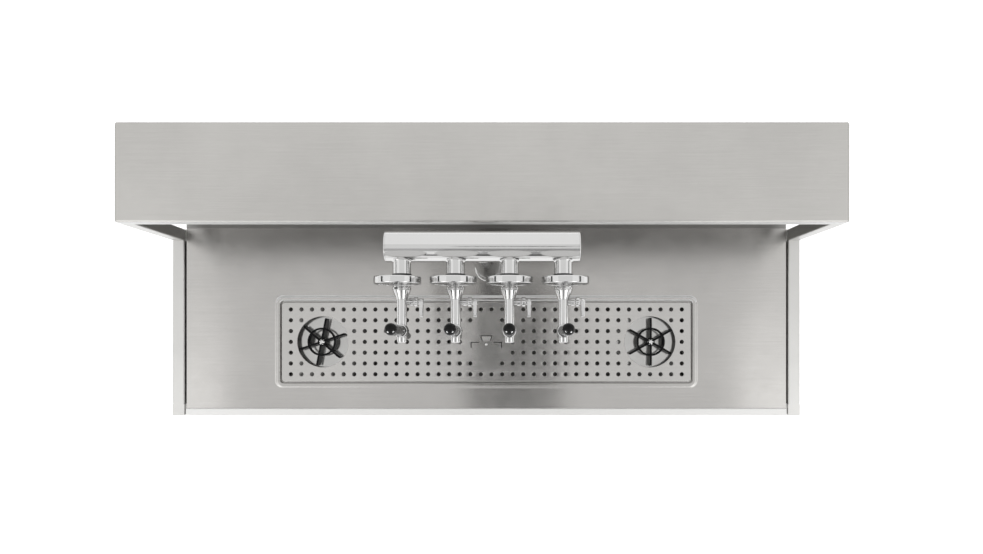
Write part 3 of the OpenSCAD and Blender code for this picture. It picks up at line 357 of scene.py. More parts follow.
def turned(corners, segments, steps=6, closed=False, flat=None):
    """Shell turned about Z from the (radius, height, rounding) corners of its profile."""
    return lathe(filleted(corners, steps, closed), segments, closed, flat)


def plate(outline, thickness, edge, steps=3):
    """Flat plate with round rims: a counter-clockwise outline is drawn in along its own normals,
    by an arc of the edge radius, towards both faces."""
    ahead = np.roll(outline, -1, 0) - np.roll(outline, 1, 0)
    normal = np.stack([ahead[:, 1], -ahead[:, 0]], 1) / np.linalg.norm(ahead, axis=1, keepdims=True)
    a = np.linspace(0, np.pi / 2, steps + 1)
    draw_in = edge * (1 - np.concatenate([np.sin(a), np.cos(a)]))
    level = np.concatenate([edge - thickness / 2 - edge * np.cos(a), thickness / 2 - edge + edge * np.sin(a)])
    flat = outline[None] - normal[None] * draw_in[:, None, None]
    heights = np.broadcast_to(level[:, None, None], flat.shape[:2] + (1,))
    return loft(np.concatenate([flat, heights], -1))


def swept_ring(path, axis_point, radius, sides=10):
    """Tube along a closed path: each section is a circle across the path, started away from a point."""
    ahead = np.roll(path, -1, 0) - np.roll(path, 1, 0)
    ahead /= np.linalg.norm(ahead, axis=1, keepdims=True)
    away = path - axis_point
    away -= ahead * (away * ahead).sum(1, keepdims=True)
    away /= np.linalg.norm(away, axis=1, keepdims=True)
    across = np.cross(ahead, away)
    a = np.linspace(0, 2 * np.pi, sides, endpoint=False)[None, :, None]
    points = path[:, None] + radius * (np.cos(a) * away[:, None] + np.sin(a) * across[:, None])
    return loft(np.concatenate([points, points[:1]]), caps=False)


def filled(outline, holes, height, up):
    """Flat face inside an outline and outside its holes: a flat curve of straight splines, filled."""
    curve = bpy.data.curves.new("fill", "CURVE")
    curve.dimensions = "2D"
    curve.fill_mode = "BOTH"
    for loop in [outline, *holes]:
        spline = curve.splines.new("POLY")
        spline.points.add(len(loop) - 1)
        spline.points.foreach_set("co", np.pad(loop, ((0, 0), (0, 2)), constant_values=(0, 1)).ravel())
        spline.use_cyclic_u = True
    carrier = add_object("fill", curve)
    mesh = bpy.data.meshes.new_from_object(carrier.evaluated_get(bpy.context.evaluated_depsgraph_get()))
    mesh.calc_loop_triangles()
    points = np.empty(len(mesh.vertices) * 3)
    mesh.vertices.foreach_get("co", points)
    corners = np.empty(len(mesh.loop_triangles) * 3, int)
    mesh.loop_triangles.foreach_get("vertices", corners)
    bpy.data.objects.remove(carrier)
    bpy.data.curves.remove(curve)
    bpy.data.meshes.remove(mesh)
    points = points.reshape(-1, 3)
    corners = corners.reshape(-1, 3)
    a, b, c = (points[corners[:, k], :2] for k in range(3))
    rising = (b[:, 0] - a[:, 0]) * (c[:, 1] - a[:, 1]) - (b[:, 1] - a[:, 1]) * (c[:, 0] - a[:, 0]) > 0
    corners = np.where((rising == up)[:, None], corners, corners[:, ::-1])
    points[:, 2] = height
    return points, [corners]


def circles(centres, radius, count):
    """Counter-clockwise circles about many centres, as [circle, point, xy]."""
    a = np.linspace(0, 2 * np.pi, count, endpoint=False)
    return np.asarray(centres)[:, None] + radius * np.stack([np.cos(a), np.sin(a)], -1)[None]


def hole_walls(loops):
    """Walls of like holes: loops is [hole, row, column, xyz], and each hole's rows are joined downwards."""
    count, rows, columns = loops.shape[:3]
    quads = grid_quads(rows, columns)[None] + (np.arange(count) * rows * columns)[:, None, None]
    return loops.reshape(-1, 3), [quads.reshape(-1, 4)]


def at_height(loops, z):
    """Flat loops [.., point, xy] lifted to a height."""
    return np.concatenate([loops, np.full(loops.shape[:-1] + (1,), z)], -1)


def rim_rows(size, corner, profile):
    """Rows of a rounded rectangle, each let out and lifted by a point (out, z) of a profile."""
    return np.stack([at_height(rounded(size[0] + 2 * out, size[1] + 2 * out, max(corner + out, MM)), z)
                     for out, z in profile])


def set_on(shell, x, y, origin):
    """The shell with its X and Y turned to two directions and its origin moved to a point."""
    points, faces = shell
    return points @ np.stack([x, y, np.cross(x, y)]) + origin, faces


def pointed(shell, direction, origin):
    """The shell with its +Z turned to a direction and its origin moved to a point."""
    z = np.asarray(direction) / np.linalg.norm(direction)
    x = BACK if abs(z[0]) > 0.9 else RIGHT
    return set_on(shell, x, np.cross(z, x), origin)


def add_object(name, data):
    """A new object around its data, linked to the scene."""
    made = bpy.data.objects.new(name, data)
    bpy.context.scene.collection.objects.link(made)
    return made


def piece(name, shells, finish, body, slot, *nodes, sharp=35):
    """A finished piece from shells, welded, shaded smooth below the sharp angle and riding on a body."""
    starts = np.cumsum([0] + [len(points) for points, faces in shells])
    blocks = [block + start for (points, faces), start in zip(shells, starts) for block in faces]
    mesh = bpy.data.meshes.new(name)
    mesh.from_pydata(np.concatenate([points for points, faces in shells]), [],
                     [face for block in blocks for face in block.tolist()])
    weld = bmesh.new()
    weld.from_mesh(mesh)
    bmesh.ops.remove_doubles(weld, verts=weld.verts, dist=1e-6)
    weld.to_mesh(mesh)
    weld.free()
    mesh.shade_smooth()
    mesh.set_sharp_from_angle(angle=math.radians(sharp))
    mesh.materials.append(FINISHES[finish])
    made = add_object(name, mesh)
    made.modifiers.new("Even shading", "WEIGHTED_NORMAL").keep_sharp = True
    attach(made, body)
    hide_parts(*nodes)
    return made


def polished(name, shells, *nodes, body="counter"):
    """A finished piece of polished steel."""
    return piece(name, shells, "polished", body, "polished_steel", *nodes)


def refinish(made, **changes):
    """Gives a finish to the faces that a mask of their centres and normals [face, xyz] picks."""
    mesh = made.data
    centres, normals = np.empty((2, len(mesh.polygons) * 3))
    mesh.polygons.foreach_get("center", centres)
    mesh.polygons.foreach_get("normal", normals)
    index = np.zeros(len(mesh.polygons), int)
    for finish, chosen in changes.items():
        mesh.materials.append(FINISHES[finish])
        index[chosen(centres.reshape(-1, 3), normals.reshape(-1, 3))] = len(mesh.materials) - 1
    mesh.polygons.foreach_set("material_index", index)


def facing_down(centre, normal):
    """Mask of the faces that look down."""
    return normal[:, 2] < -0.5


def facing_operator(centre, normal):
    """Mask of the faces that look towards the operator."""
    return normal[:, 1] < -0.8


def dress(finish, *nodes):
    """Gives nodes of the frame a finish."""
    for node in nodes:
        mesh = frame["nodes"][node].data
        mesh.materials.clear()
        mesh.materials.append(FINISHES[finish])


# Materials

def node_group(name, inputs, outputs):
    """An empty node group with named sockets, and its two end nodes."""
    tree = bpy.data.node_groups.new(name, "ShaderNodeTree")
    for label, kind, value in inputs:
        tree.interface.new_socket(label, in_out="INPUT", socket_type=kind).default_value = value
    for label in outputs:
        tree.interface.new_socket(label, in_out="OUTPUT", socket_type="NodeSocketFloat")
    return tree, tree.nodes.new("NodeGroupInput"), tree.nodes.new("NodeGroupOutput")


def add_noise(tree, vector, scale, detail, roughness=0.6):
    """A noise texture on a vector socket; returns its value."""
    noise = tree.nodes.new("ShaderNodeTexNoise")
    noise.inputs["Scale"].default_value = scale
    noise.inputs["Detail"].default_value = detail
    noise.inputs["Roughness"].default_value = roughness
    tree.links.new(vector, noise.inputs["Vector"])
    return noise.outputs["Fac"]


def add_math(tree, operation, first, second=None, third=None):
    """A math node on sockets or plain numbers; returns its value."""
    made = tree.nodes.new("ShaderNodeMath")
    made.operation = operation
    for socket, value in zip(made.inputs, (first, second, third)):
        if isinstance(value, (int, float)):
            socket.default_value = value
        elif value is not None:
            tree.links.new(value, socket)
    return made.outputs[0]


def add_range(tree, value, low, high, to_low, to_high):
    """A clamped map range on a value socket; returns its result."""
    made = tree.nodes.new("ShaderNodeMapRange")
    for label, number in (("From Min", low), ("From Max", high), ("To Min", to_low), ("To Max", to_high)):
        made.inputs[label].default_value = number
    tree.links.new(value, made.inputs["Value"])
    return made.outputs["Result"]


def brush_grain():
    """Grain of a brushed metal: two noises on Object coordinates, drawn out by the Stretch vector."""
    if "Brush Grain" in bpy.data.node_groups:
        return bpy.data.node_groups["Brush Grain"]
    tree, start, end = node_group("Brush Grain", [("Stretch", "NodeSocketVector", (1, 1, 1))], ["Grain"])
    place = tree.nodes.new("ShaderNodeTexCoord")
    drawn = tree.nodes.new("ShaderNodeVectorMath")
    drawn.operation = "MULTIPLY"
    tree.links.new(place.outputs["Object"], drawn.inputs[0])
    tree.links.new(start.outputs["Stretch"], drawn.inputs[1])
    coarse = add_noise(tree, drawn.outputs[0], 1.0, 3.0)
    fine = add_noise(tree, drawn.outputs[0], 4.3, 2.0)
    both = add_math(tree, "ADD", coarse, fine)
    tree.links.new(add_math(tree, "MULTIPLY", both, 0.5), end.inputs["Grain"])
    return tree


def handling_marks():
    """Soft clouds and small smears that handling and wiping leave: noises on Object coordinates."""
    if "Handling Marks" in bpy.data.node_groups:
        return bpy.data.node_groups["Handling Marks"]
    tree, start, end = node_group("Handling Marks", [("Scale", "NodeSocketFloat", 5.0)], ["Cloud", "Smear"])
    place = tree.nodes.new("ShaderNodeTexCoord")
    sized = tree.nodes.new("ShaderNodeVectorMath")
    sized.operation = "SCALE"
    tree.links.new(place.outputs["Object"], sized.inputs[0])
    tree.links.new(start.outputs["Scale"], sized.inputs["Scale"])
    cloud = add_noise(tree, sized.outputs[0], 1.0, 4.0)
    smear = add_noise(tree, sized.outputs[0], 5.7, 6.0, 0.7)
    tree.links.new(add_range(tree, cloud, 0.3, 0.7, 0.0, 1.0), end.inputs["Cloud"])
    tree.links.new(add_range(tree, smear, 0.4, 0.7, 0.0, 1.0), end.inputs["Smear"])
    return tree


def add_group(tree, group, **values):
    """A node group placed in a material with its own values; returns its outputs."""
    made = tree.nodes.new("ShaderNodeGroup")
    made.node_tree = group
    for label, value in values.items():
        made.inputs[label].default_value = value
    return made.outputs


MARK_SCALE = 4.0
TONE_RANGE = (0.55, 1.45)


def new_material(name):
    """A material with nodes, its tree and its Principled shader."""
    material = bpy.data.materials.new(name)
    material.use_nodes = True
    return material, material.node_tree, material.node_tree.nodes["Principled BSDF"]


def surface(name, tone, roughness, metallic, stretch, grain, cloud, bump=0.02, smear=0.05, specular=0.5):
    """A Principled material whose colour, roughness and bump vary with grain and handling marks."""
    material, tree, shader = new_material(name)
    grained = add_group(tree, brush_grain(), Stretch=stretch)["Grain"]
    marked = add_group(tree, handling_marks(), Scale=MARK_SCALE)
    level = add_math(tree, "MULTIPLY_ADD", grained, 2 * grain, 0.5 - grain)
    level = add_math(tree, "SUBTRACT", level, cloud)
    level = add_math(tree, "MULTIPLY_ADD", marked["Cloud"], 2 * cloud, level)
    dark, pale = ((*np.clip(np.array(tone) * share, 0, 1), 1) for share in TONE_RANGE)
    tree.links.new(blend(tree, level, dark, pale, "RGBA"), shader.inputs["Base Color"])
    rough = add_math(tree, "MULTIPLY_ADD", marked["Smear"], smear, roughness - smear / 2)
    tree.links.new(add_math(tree, "MULTIPLY_ADD", grained, smear, rough), shader.inputs["Roughness"])
    relief = tree.nodes.new("ShaderNodeBump")
    relief.inputs["Strength"].default_value = bump
    relief.inputs["Distance"].default_value = MM
    tree.links.new(grained, relief.inputs["Height"])
    tree.links.new(relief.outputs["Normal"], shader.inputs["Normal"])
    shader.inputs["Metallic"].default_value = metallic
    shader.inputs["Specular IOR Level"].default_value = specular
    return material


def brushed_metal(name, tone, roughness, anisotropy, across, stretch, grain=0.12, cloud=0.05):
    """Metal brushed one way: highlights spread along the fixed tangent, across the brush lines."""
    material = surface(name, tone, roughness, 1.0, stretch, grain, cloud, 0.03)
    tree = material.node_tree
    inputs = tree.nodes["Principled BSDF"].inputs
    inputs["Anisotropic"].default_value = anisotropy
    tangent = tree.nodes.new("ShaderNodeCombineXYZ")
    for socket, value in zip(tangent.inputs, across):
        socket.default_value = value
    tree.links.new(tangent.outputs[0], inputs["Tangent"])
    return material


def place_of(tree):
    """X, Y and Z of the Object coordinates."""
    place = tree.nodes.new("ShaderNodeTexCoord")
    split = tree.nodes.new("ShaderNodeSeparateXYZ")
    tree.links.new(place.outputs["Object"], split.inputs[0])
    return split.outputs


def blend(tree, mask, first, second, kind="FLOAT"):
    """Mix of a socket or value with a value, by a mask."""
    node = tree.nodes.new("ShaderNodeMix")
    node.data_type = kind
    tree.links.new(mask, node.inputs[0])
    first_in, second_in = [s for s in node.inputs if s.name in "AB" and s.enabled]
    if isinstance(first, bpy.types.NodeSocket):
        tree.links.new(first, first_in)
    else:
        first_in.default_value = first
    second_in.default_value = second
    return next(s for s in node.outputs if s.enabled)


def set_apart(material, mask, tone, roughness, metallic=1.0):
    """Gives the masked part of a surface its own tone, roughness and metal share."""
    tree = material.node_tree
    inputs = tree.nodes["Principled BSDF"].inputs
    for name, value, kind in (("Base Color", (*tone, 1), "RGBA"), ("Roughness", roughness, "FLOAT")):
        tree.links.new(blend(tree, mask, inputs[name].links[0].from_socket, value, kind), inputs[name])
    tree.links.new(blend(tree, mask, inputs["Metallic"].default_value, metallic), inputs["Metallic"])


def front_strip(material, line):
    """Mask of the strip in front of a line across Object Y."""
    tree = material.node_tree
    return add_range(tree, place_of(tree)["Y"], line - 0.3 * MM, line + 0.3 * MM, 1.0, 0.0)


def rinser_wells(material, radius):
    """Mask of the round places under both rinsers: the distance from (|x|, y) to the right one's axis."""
    tree = material.node_tree
    at = place_of(tree)
    x, y = middle("right_nozzle")[:2]
    across = add_math(tree, "SUBTRACT", add_math(tree, "ABSOLUTE", at["X"]), float(x))
    along = add_math(tree, "SUBTRACT", at["Y"], float(y))
    square = add_math(tree, "MULTIPLY_ADD", across, across, add_math(tree, "MULTIPLY", along, along))
    return add_range(tree, add_math(tree, "SQRT", square), radius, radius + 4 * MM, 1.0, 0.0)


FINISHES = {}


def make_finishes(tones):
    """All materials of the counter, by name."""
    along_x, along_y, upright = (5, 420, 420), (420, 5, 420), (420, 420, 5)
    lying, standing = (0, 1, 1), (0, 0, 1)
    FINISHES.update({
        "worktop": brushed_metal("Brushed worktop", tones.brushed, 0.20, 0.89, lying, along_x),
        "shelf": brushed_metal("Brushed shelf", tones.shelf, 0.16, 0.88, lying, along_x),
        # Pale rim tone on folds paints the highlight of the shelf's front face and the tray's back edges
        "fold": surface("Rubbed fold", tones.rim, 0.6, 1.0, along_x, 0.1, 0.05),
        # Its dark tone is painted shade on the undersides
        "under": surface("Dull underside", tones.under, 0.55, 1.0, along_x, 0.12, 0.1),
        # The splash panel's darker tone is painted shade
        "splash": brushed_metal("Brushed splash panel", tones.splash, 0.30, 0.85, standing, along_x),
        "side": brushed_metal("Brushed side", tones.brushed, 0.36, 0.85, standing, along_y),
        "tray": brushed_metal("Bright tray", tones.tray, 0.28, 0.4, lying, along_x),
        "grille": brushed_metal("Perforated steel", tones.grille, 0.22, 0.88, lying, along_x, 0.1, 0.06),
        "tube": surface("Satin tube", tones.tube, 0.34, 1.0, (120, 120, 120), 0.05, 0.05),
        "polished": surface("Polished steel", tones.polished, 0.09, 1.0, upright, 0.02, 0.02, 0.004),
        "machined": surface("Machined steel", tones.machined, 0.28, 1.0, (300, 300, 300), 0.06, 0.05),
        "knob": surface("Gloss knob", tones.knob, 0.13, 0.0, (200, 200, 200), 0.05, 0.05, 0.004, 0.04, 0.12),
        "star": surface("Moulded star", tones.star, 0.36, 0.0, (700, 700, 700), 0.1, 0.1, 0.05,
                        specular=0.06),
        # The seat's pale tone is painted light in the shaded middle of each rinser
        "seat": surface("Pale valve seat", tones.well, 0.5, 0.2, (300, 300, 300), 0.06, 0.05),
        "rubber": surface("Seal rubber", tones.rubber, 0.6, 0.0, (500, 500, 500), 0.1, 0.1, 0.08),
        "plastic": surface("Grey plastic", tones.plastic, 0.45, 0.0, (500, 500, 500), 0.06, 0.08, 0.05),
    })
    worktop, tray = FINISHES["worktop"], FINISHES["tray"]
    edge_tint = FINISHES["polished"].node_tree.nodes["Principled BSDF"].inputs["Specular Tint"]
    edge_tint.default_value = (0.5, 0.5, 0.5, 1)
    # Front strip: its own rougher, half-metal rim finish, with a pale tone that paints its highlight
    set_apart(worktop, front_strip(worktop, extent("worktop")[0][1] + RIM_DEPTH), tones.rim, 0.7, 0.5)
    # Round places under the rinsers: paler tone paints the pool of light; a matte, low-metal finish takes the
    # down light
    set_apart(tray, rinser_wells(tray, WELL_RADIUS), tones.well, 0.5, 0.2)


# Operators

LAMP_ASIDE, LAMP_SHIFT = 2.2, -0.1
FRONT_LAMP_ASIDE = 1.7
SOFTBOX_Y, FRONT_Y = -0.95, -2.2
SOFTBOX_Z, FRONT_LAMP_Z, KNOB_LAMP_Z = 3.3, 2.9, 2.2
CARD_Z, SHADE_Z = 3.3, 2.5
SHEET_REACH, PIPE_REACH, REACH_FADE = 2.15, 1.46, 0.15
WALL_RADIUS = 4.0


class COUNTER_OT_stage(Operator):
    """Make the camera, the white surroundings, the lamps, the dark cards and the floor."""
    bl_idname = "counter.stage"
    bl_label = "Stage"

    def execute(self, context):
        settings = context.scene.stage_settings
        context.scene.view_settings.view_transform = "Standard"
        camera = add_object("Camera", bpy.data.cameras.new("Camera"))
        camera.location = settings.camera
        camera.data.lens = settings.lens
        camera.data.shift_x = settings.shift_x
        camera.data.shift_y = settings.shift_y
        context.scene.camera = camera
        self.world(context, settings)
        self.lamps(settings)
        self.cards(settings)
        self.floor(settings)
        return {"FINISHED"}

    def seen(self, tree):
        """Mask of the rays that look at the background: camera, glossy and transmission rays."""
        path = tree.nodes.new("ShaderNodeLightPath").outputs
        sharp = add_math(tree, "MAXIMUM", path["Is Camera Ray"], path["Is Glossy Ray"])
        return add_math(tree, "MAXIMUM", sharp, path["Is Transmission Ray"])

    def world(self, context, settings):
        """White where it is looked at, and a plain fill light elsewhere."""
        world = bpy.data.worlds.new("White surroundings")
        context.scene.world = world
        world.use_nodes = True
        tree = world.node_tree
        background = tree.nodes["Background"]
        background.inputs["Color"].default_value = (1, 1, 1, 1)
        strength = add_math(tree, "MULTIPLY_ADD", self.seen(tree), 1 - settings.fill, settings.fill)
        tree.links.new(strength, background.inputs["Strength"])

    def lamps(self, settings):
        """Soft light from straight above for what doesn't mirror, and pairs of softboxes, front lamps and
        lamps that light the knobs alone."""
        sun = bpy.data.lights.new("Down light", "SUN")
        sun.energy = settings.down_light
        sun.angle = settings.down_angle
        add_object("Down light", sun).visible_glossy = False
        lit = bpy.data.collections.new("Lit knobs")
        for side, name in ((-1, "Left"), (1, "Right")):
            x = side * LAMP_ASIDE + LAMP_SHIFT
            self.lamp(f"{name} softbox", (x, SOFTBOX_Y, SOFTBOX_Z), settings.softbox, settings.softbox_power)
            front = self.lamp(f"{name} front lamp", (side * FRONT_LAMP_ASIDE, FRONT_Y, FRONT_LAMP_Z),
                              settings.front_lamp, settings.front_power)
            knob = self.lamp(f"{name} knob lamp", (x, FRONT_Y, KNOB_LAMP_Z), settings.knob_lamp,
                             settings.knob_power)
            knob.light_linking.receiver_collection = lit
            self.aim(front)
            self.aim(knob)

    def lamp(self, name, place, sides, power):
        """Rectangular lamp that looks straight down."""
        data = bpy.data.lights.new(name, "AREA")
        data.shape = "RECTANGLE"
        data.size, data.size_y = sides
        data.energy = power
        lamp = add_object(name, data)
        lamp.location = place
        return lamp

    def aim(self, lamp):
        """Turns a lamp towards the taps."""
        way = np.mean(list(PIVOTS.values()), axis=0) - lamp.location
        tilt = math.acos(-way[2] / np.linalg.norm(way))
        lamp.rotation_euler = (tilt, 0, math.atan2(way[1], way[0]) - math.pi / 2)

    def cards(self, settings):
        """Dark cards in the reflections: over the sheets, around the camera, over the pipes, on the walls and
        in front. A lying card has its reach across and along from the camera, and its height."""
        over = self.card_material("Overhead card", 0.0, 1.0)
        wall = self.card_material("Wall card", 1.0, 1.0)
        veil = self.card_material("Front card", 0.6, 0.6)
        shades = [self.card_material("Shade card", share, 0.0, PIPE_REACH) for share in (0.15, 0.45, 0.5)]
        x, y = settings.camera[:2]
        sheets, pipes, column = (-0.24, 0.27), (-0.75, 0.75), (-0.25, 0.25)
        for name, across, along, z, material in (
                ("Overhead card", sheets, (-0.45, 0.38), CARD_Z, over),
                ("Camera card", sheets, (-0.06, 0.06), CARD_Z, wall),
                ("Shade card", pipes, (-0.39, 0.4), SHADE_Z, shades[0]),
                ("Shade card", pipes, (-0.85, -0.24), SHADE_Z, shades[1]),
                ("Shade card", column, (-0.85, -0.27), SHADE_Z, shades[2])):
            rows = np.array([[(x + dx, y + dy, z) for dx in across] for dy in along])
            self.card(name, rows, material)
        arc = np.radians(np.linspace(-200, 20, 56))
        band = WALL_RADIUS * np.stack([np.cos(arc), np.sin(arc)], -1)
        front = np.array([(-0.1, -1.7), (0.35, -1.7)])
        self.card("Wall band", np.stack([at_height(band, z) for z in (2.25, 3.0)]), wall)
        self.card("Front card", np.stack([at_height(front, z) for z in (1.6, 3.2)]), veil)

    def card_material(self, name, near, far, reach=SHEET_REACH):
        """Black that hides by one share for rays shorter than a reach and by another for longer ones."""
        material, tree, shader = new_material(name)
        shader.inputs["Base Color"].default_value = (0, 0, 0, 1)
        shader.inputs["Specular IOR Level"].default_value = 0.0
        ray = tree.nodes.new("ShaderNodeLightPath").outputs["Ray Length"]
        tree.links.new(add_range(tree, ray, reach, reach + REACH_FADE, near, far), shader.inputs["Alpha"])
        return material

    def card(self, name, rows, material):
        """Card through two rows of points, which only reflections show."""
        i = np.arange(rows.shape[1] - 1)
        j = i + rows.shape[1]
        mesh = bpy.data.meshes.new(name)
        mesh.from_pydata(rows.reshape(-1, 3), [], np.stack([i, i + 1, j + 1, j], -1).tolist())
        mesh.materials.append(material)
        card = add_object(name, mesh)
        for rays in ("camera", "diffuse", "transmission", "shadow"):
            setattr(card, f"visible_{rays}", False)

    def floor(self, settings):
        """White floor that keeps the shadow: a diffuse sheet with a glow for the rays that look at it."""
        half = settings.floor / 2
        corners = [(-half, -half, 0), (half, -half, 0), (half, half, 0), (-half, half, 0)]
        mesh = bpy.data.meshes.new("Floor")
        mesh.from_pydata(corners, [], [(0, 1, 2, 3)])
        material, tree, shader = new_material("White floor")
        shader.inputs["Base Color"].default_value = (0.8, 0.8, 0.8, 1)
        shader.inputs["Roughness"].default_value = 1.0
        shader.inputs["Specular IOR Level"].default_value = 0.0
        glow = tree.nodes.new("ShaderNodeEmission")
        tree.links.new(add_math(tree, "MULTIPLY", self.seen(tree), settings.glow), glow.inputs["Strength"])
        both = tree.nodes.new("ShaderNodeAddShader")
        tree.links.new(shader.outputs[0], both.inputs[0])
        tree.links.new(glow.outputs[0], both.inputs[1])
        tree.links.new(both.outputs[0], tree.nodes["Material Output"].inputs["Surface"])
        mesh.materials.append(material)
        add_object("Floor", mesh)


class COUNTER_OT_finishes(Operator):
    """Make the materials of the counter."""
    bl_idname = "counter.finishes"
    bl_label = "Finishes"

    def execute(self, context):
        make_finishes(context.scene.finish_colours)
        return {"FINISHED"}


class COUNTER_OT_frame(Operator):
    """Finish the square tubes, brackets, plugs and the plate under the tower."""
    bl_idname = "counter.frame"
    bl_label = "Frame"

    def execute(self, context):
        dress("tube", "front_posts", "rear_posts", "upper_side_rails", "lower_side_rails",
              "upper_cross_rails", "lower_cross_rails", "worktop_bearers", "shelf_arms", "shelf_beam",
              "shelf_brackets", "backing_plate")
        dress("star", "post_plugs", "levelling_feet")
        dress("machined", "foot_lock_nuts")
        return {"FINISHED"}


class COUNTER_OT_panels(Operator):
    """Finish the worktop, the panels and the bottom shelf."""
    bl_idname = "counter.panels"
    bl_label = "Panels"

    def execute(self, context):
        dress("worktop", "worktop", "customer_panel", "bottom_shelf")
        # The splash panel's darker tone is painted shade under the shelf
        dress("splash", "splash_panel")
        dress("side", "left_side_panel", "right_side_panel")
        return {"FINISHED"}


class COUNTER_OT_bar_shelf(Operator):
    """Build the bar shelf: a folded sheet with round edges and corners, open below."""
    bl_idname = "counter.bar_shelf"
    bl_label = "Bar shelf"

    def execute(self, context):
        sizes = context.scene.sheet_sizes
        low, high = SHELF
        sheet, edge = sizes.shelf_sheet, sizes.shelf_edge
        top, foot = high[2], low[2]
        inset = filleted([(edge + sheet, top - sheet, 0), (sheet, top - sheet, edge - sheet),
                          (sheet, foot, 0), (0, foot, 0), (0, top, edge), (2 * edge, top, 0)])
        rows = rim_rows(high - low, sizes.shelf_corner, inset * [-1, 1]) + middle("bar_shelf") * [1, 1, 0]
        shelf = piece("bar_shelf_sheet", [loft(rows)], "shelf", "counter", "brushed_steel", "bar_shelf")
        # Faces looking down get painted shade; the front face gets the fold's painted highlight
        refinish(shelf, under=facing_down, fold=facing_operator)
        return {"FINISHED"}


class COUNTER_OT_drip_tray(Operator):
    """Build the drip tray: pressed flange, mouth, ledge, walls and floor in one sheet."""
    bl_idname = "counter.drip_tray"
    bl_label = "Drip tray"

    def execute(self, context):
        sizes = context.scene.sheet_sizes
        low, high = TRAY
        flange, sheet, ledge, bend = sizes.flange, sizes.sheet, sizes.ledge, sizes.floor_bend
        top, under = high[2], low[2]
        shelf, slope = top - ledge, sizes.flange_slope
        outset = filleted([
            (sheet - ledge - 2 * bend, under, 0), (sheet - ledge, under, bend),
            (sheet - ledge, shelf - sheet, 0), (sheet, shelf - sheet, sheet), (sheet, top - sheet, 0),
            (flange, top - sheet, 0), (flange, top - 0.9 * sheet, 0),
            (flange - 0.35 * slope, top - 0.75 * sheet, 2 * slope), (flange - slope, top, 2 * slope),
            (0, top, sizes.mouth_edge), (0, shelf, 0.4 * sheet), (-ledge, shelf, sheet),
            (-ledge, under + sheet, bend), (-ledge - 2 * bend, under + sheet, 0)])
        rows = rim_rows(high - low - 2 * flange, sizes.mouth_corner, outset) + TRAY_MIDDLE * [1, 1, 0]
        pan = piece("drip_tray_pan", [loft(rows)], "tray", "counter", "brushed_steel", "drip_tray")
        rim, sloped = top - 2 * sheet, 0.06
        # The back slope and back mouth bend get the fold's painted highlight
        refinish(pan, worktop=lambda centre, normal: centre[:, 2] > rim,
                 fold=lambda centre, normal: (centre[:, 2] > rim) & (centre[:, 1] > TRAY_MIDDLE[1])
                 & (abs(normal[:, 1]) > sloped))
        return {"FINISHED"}


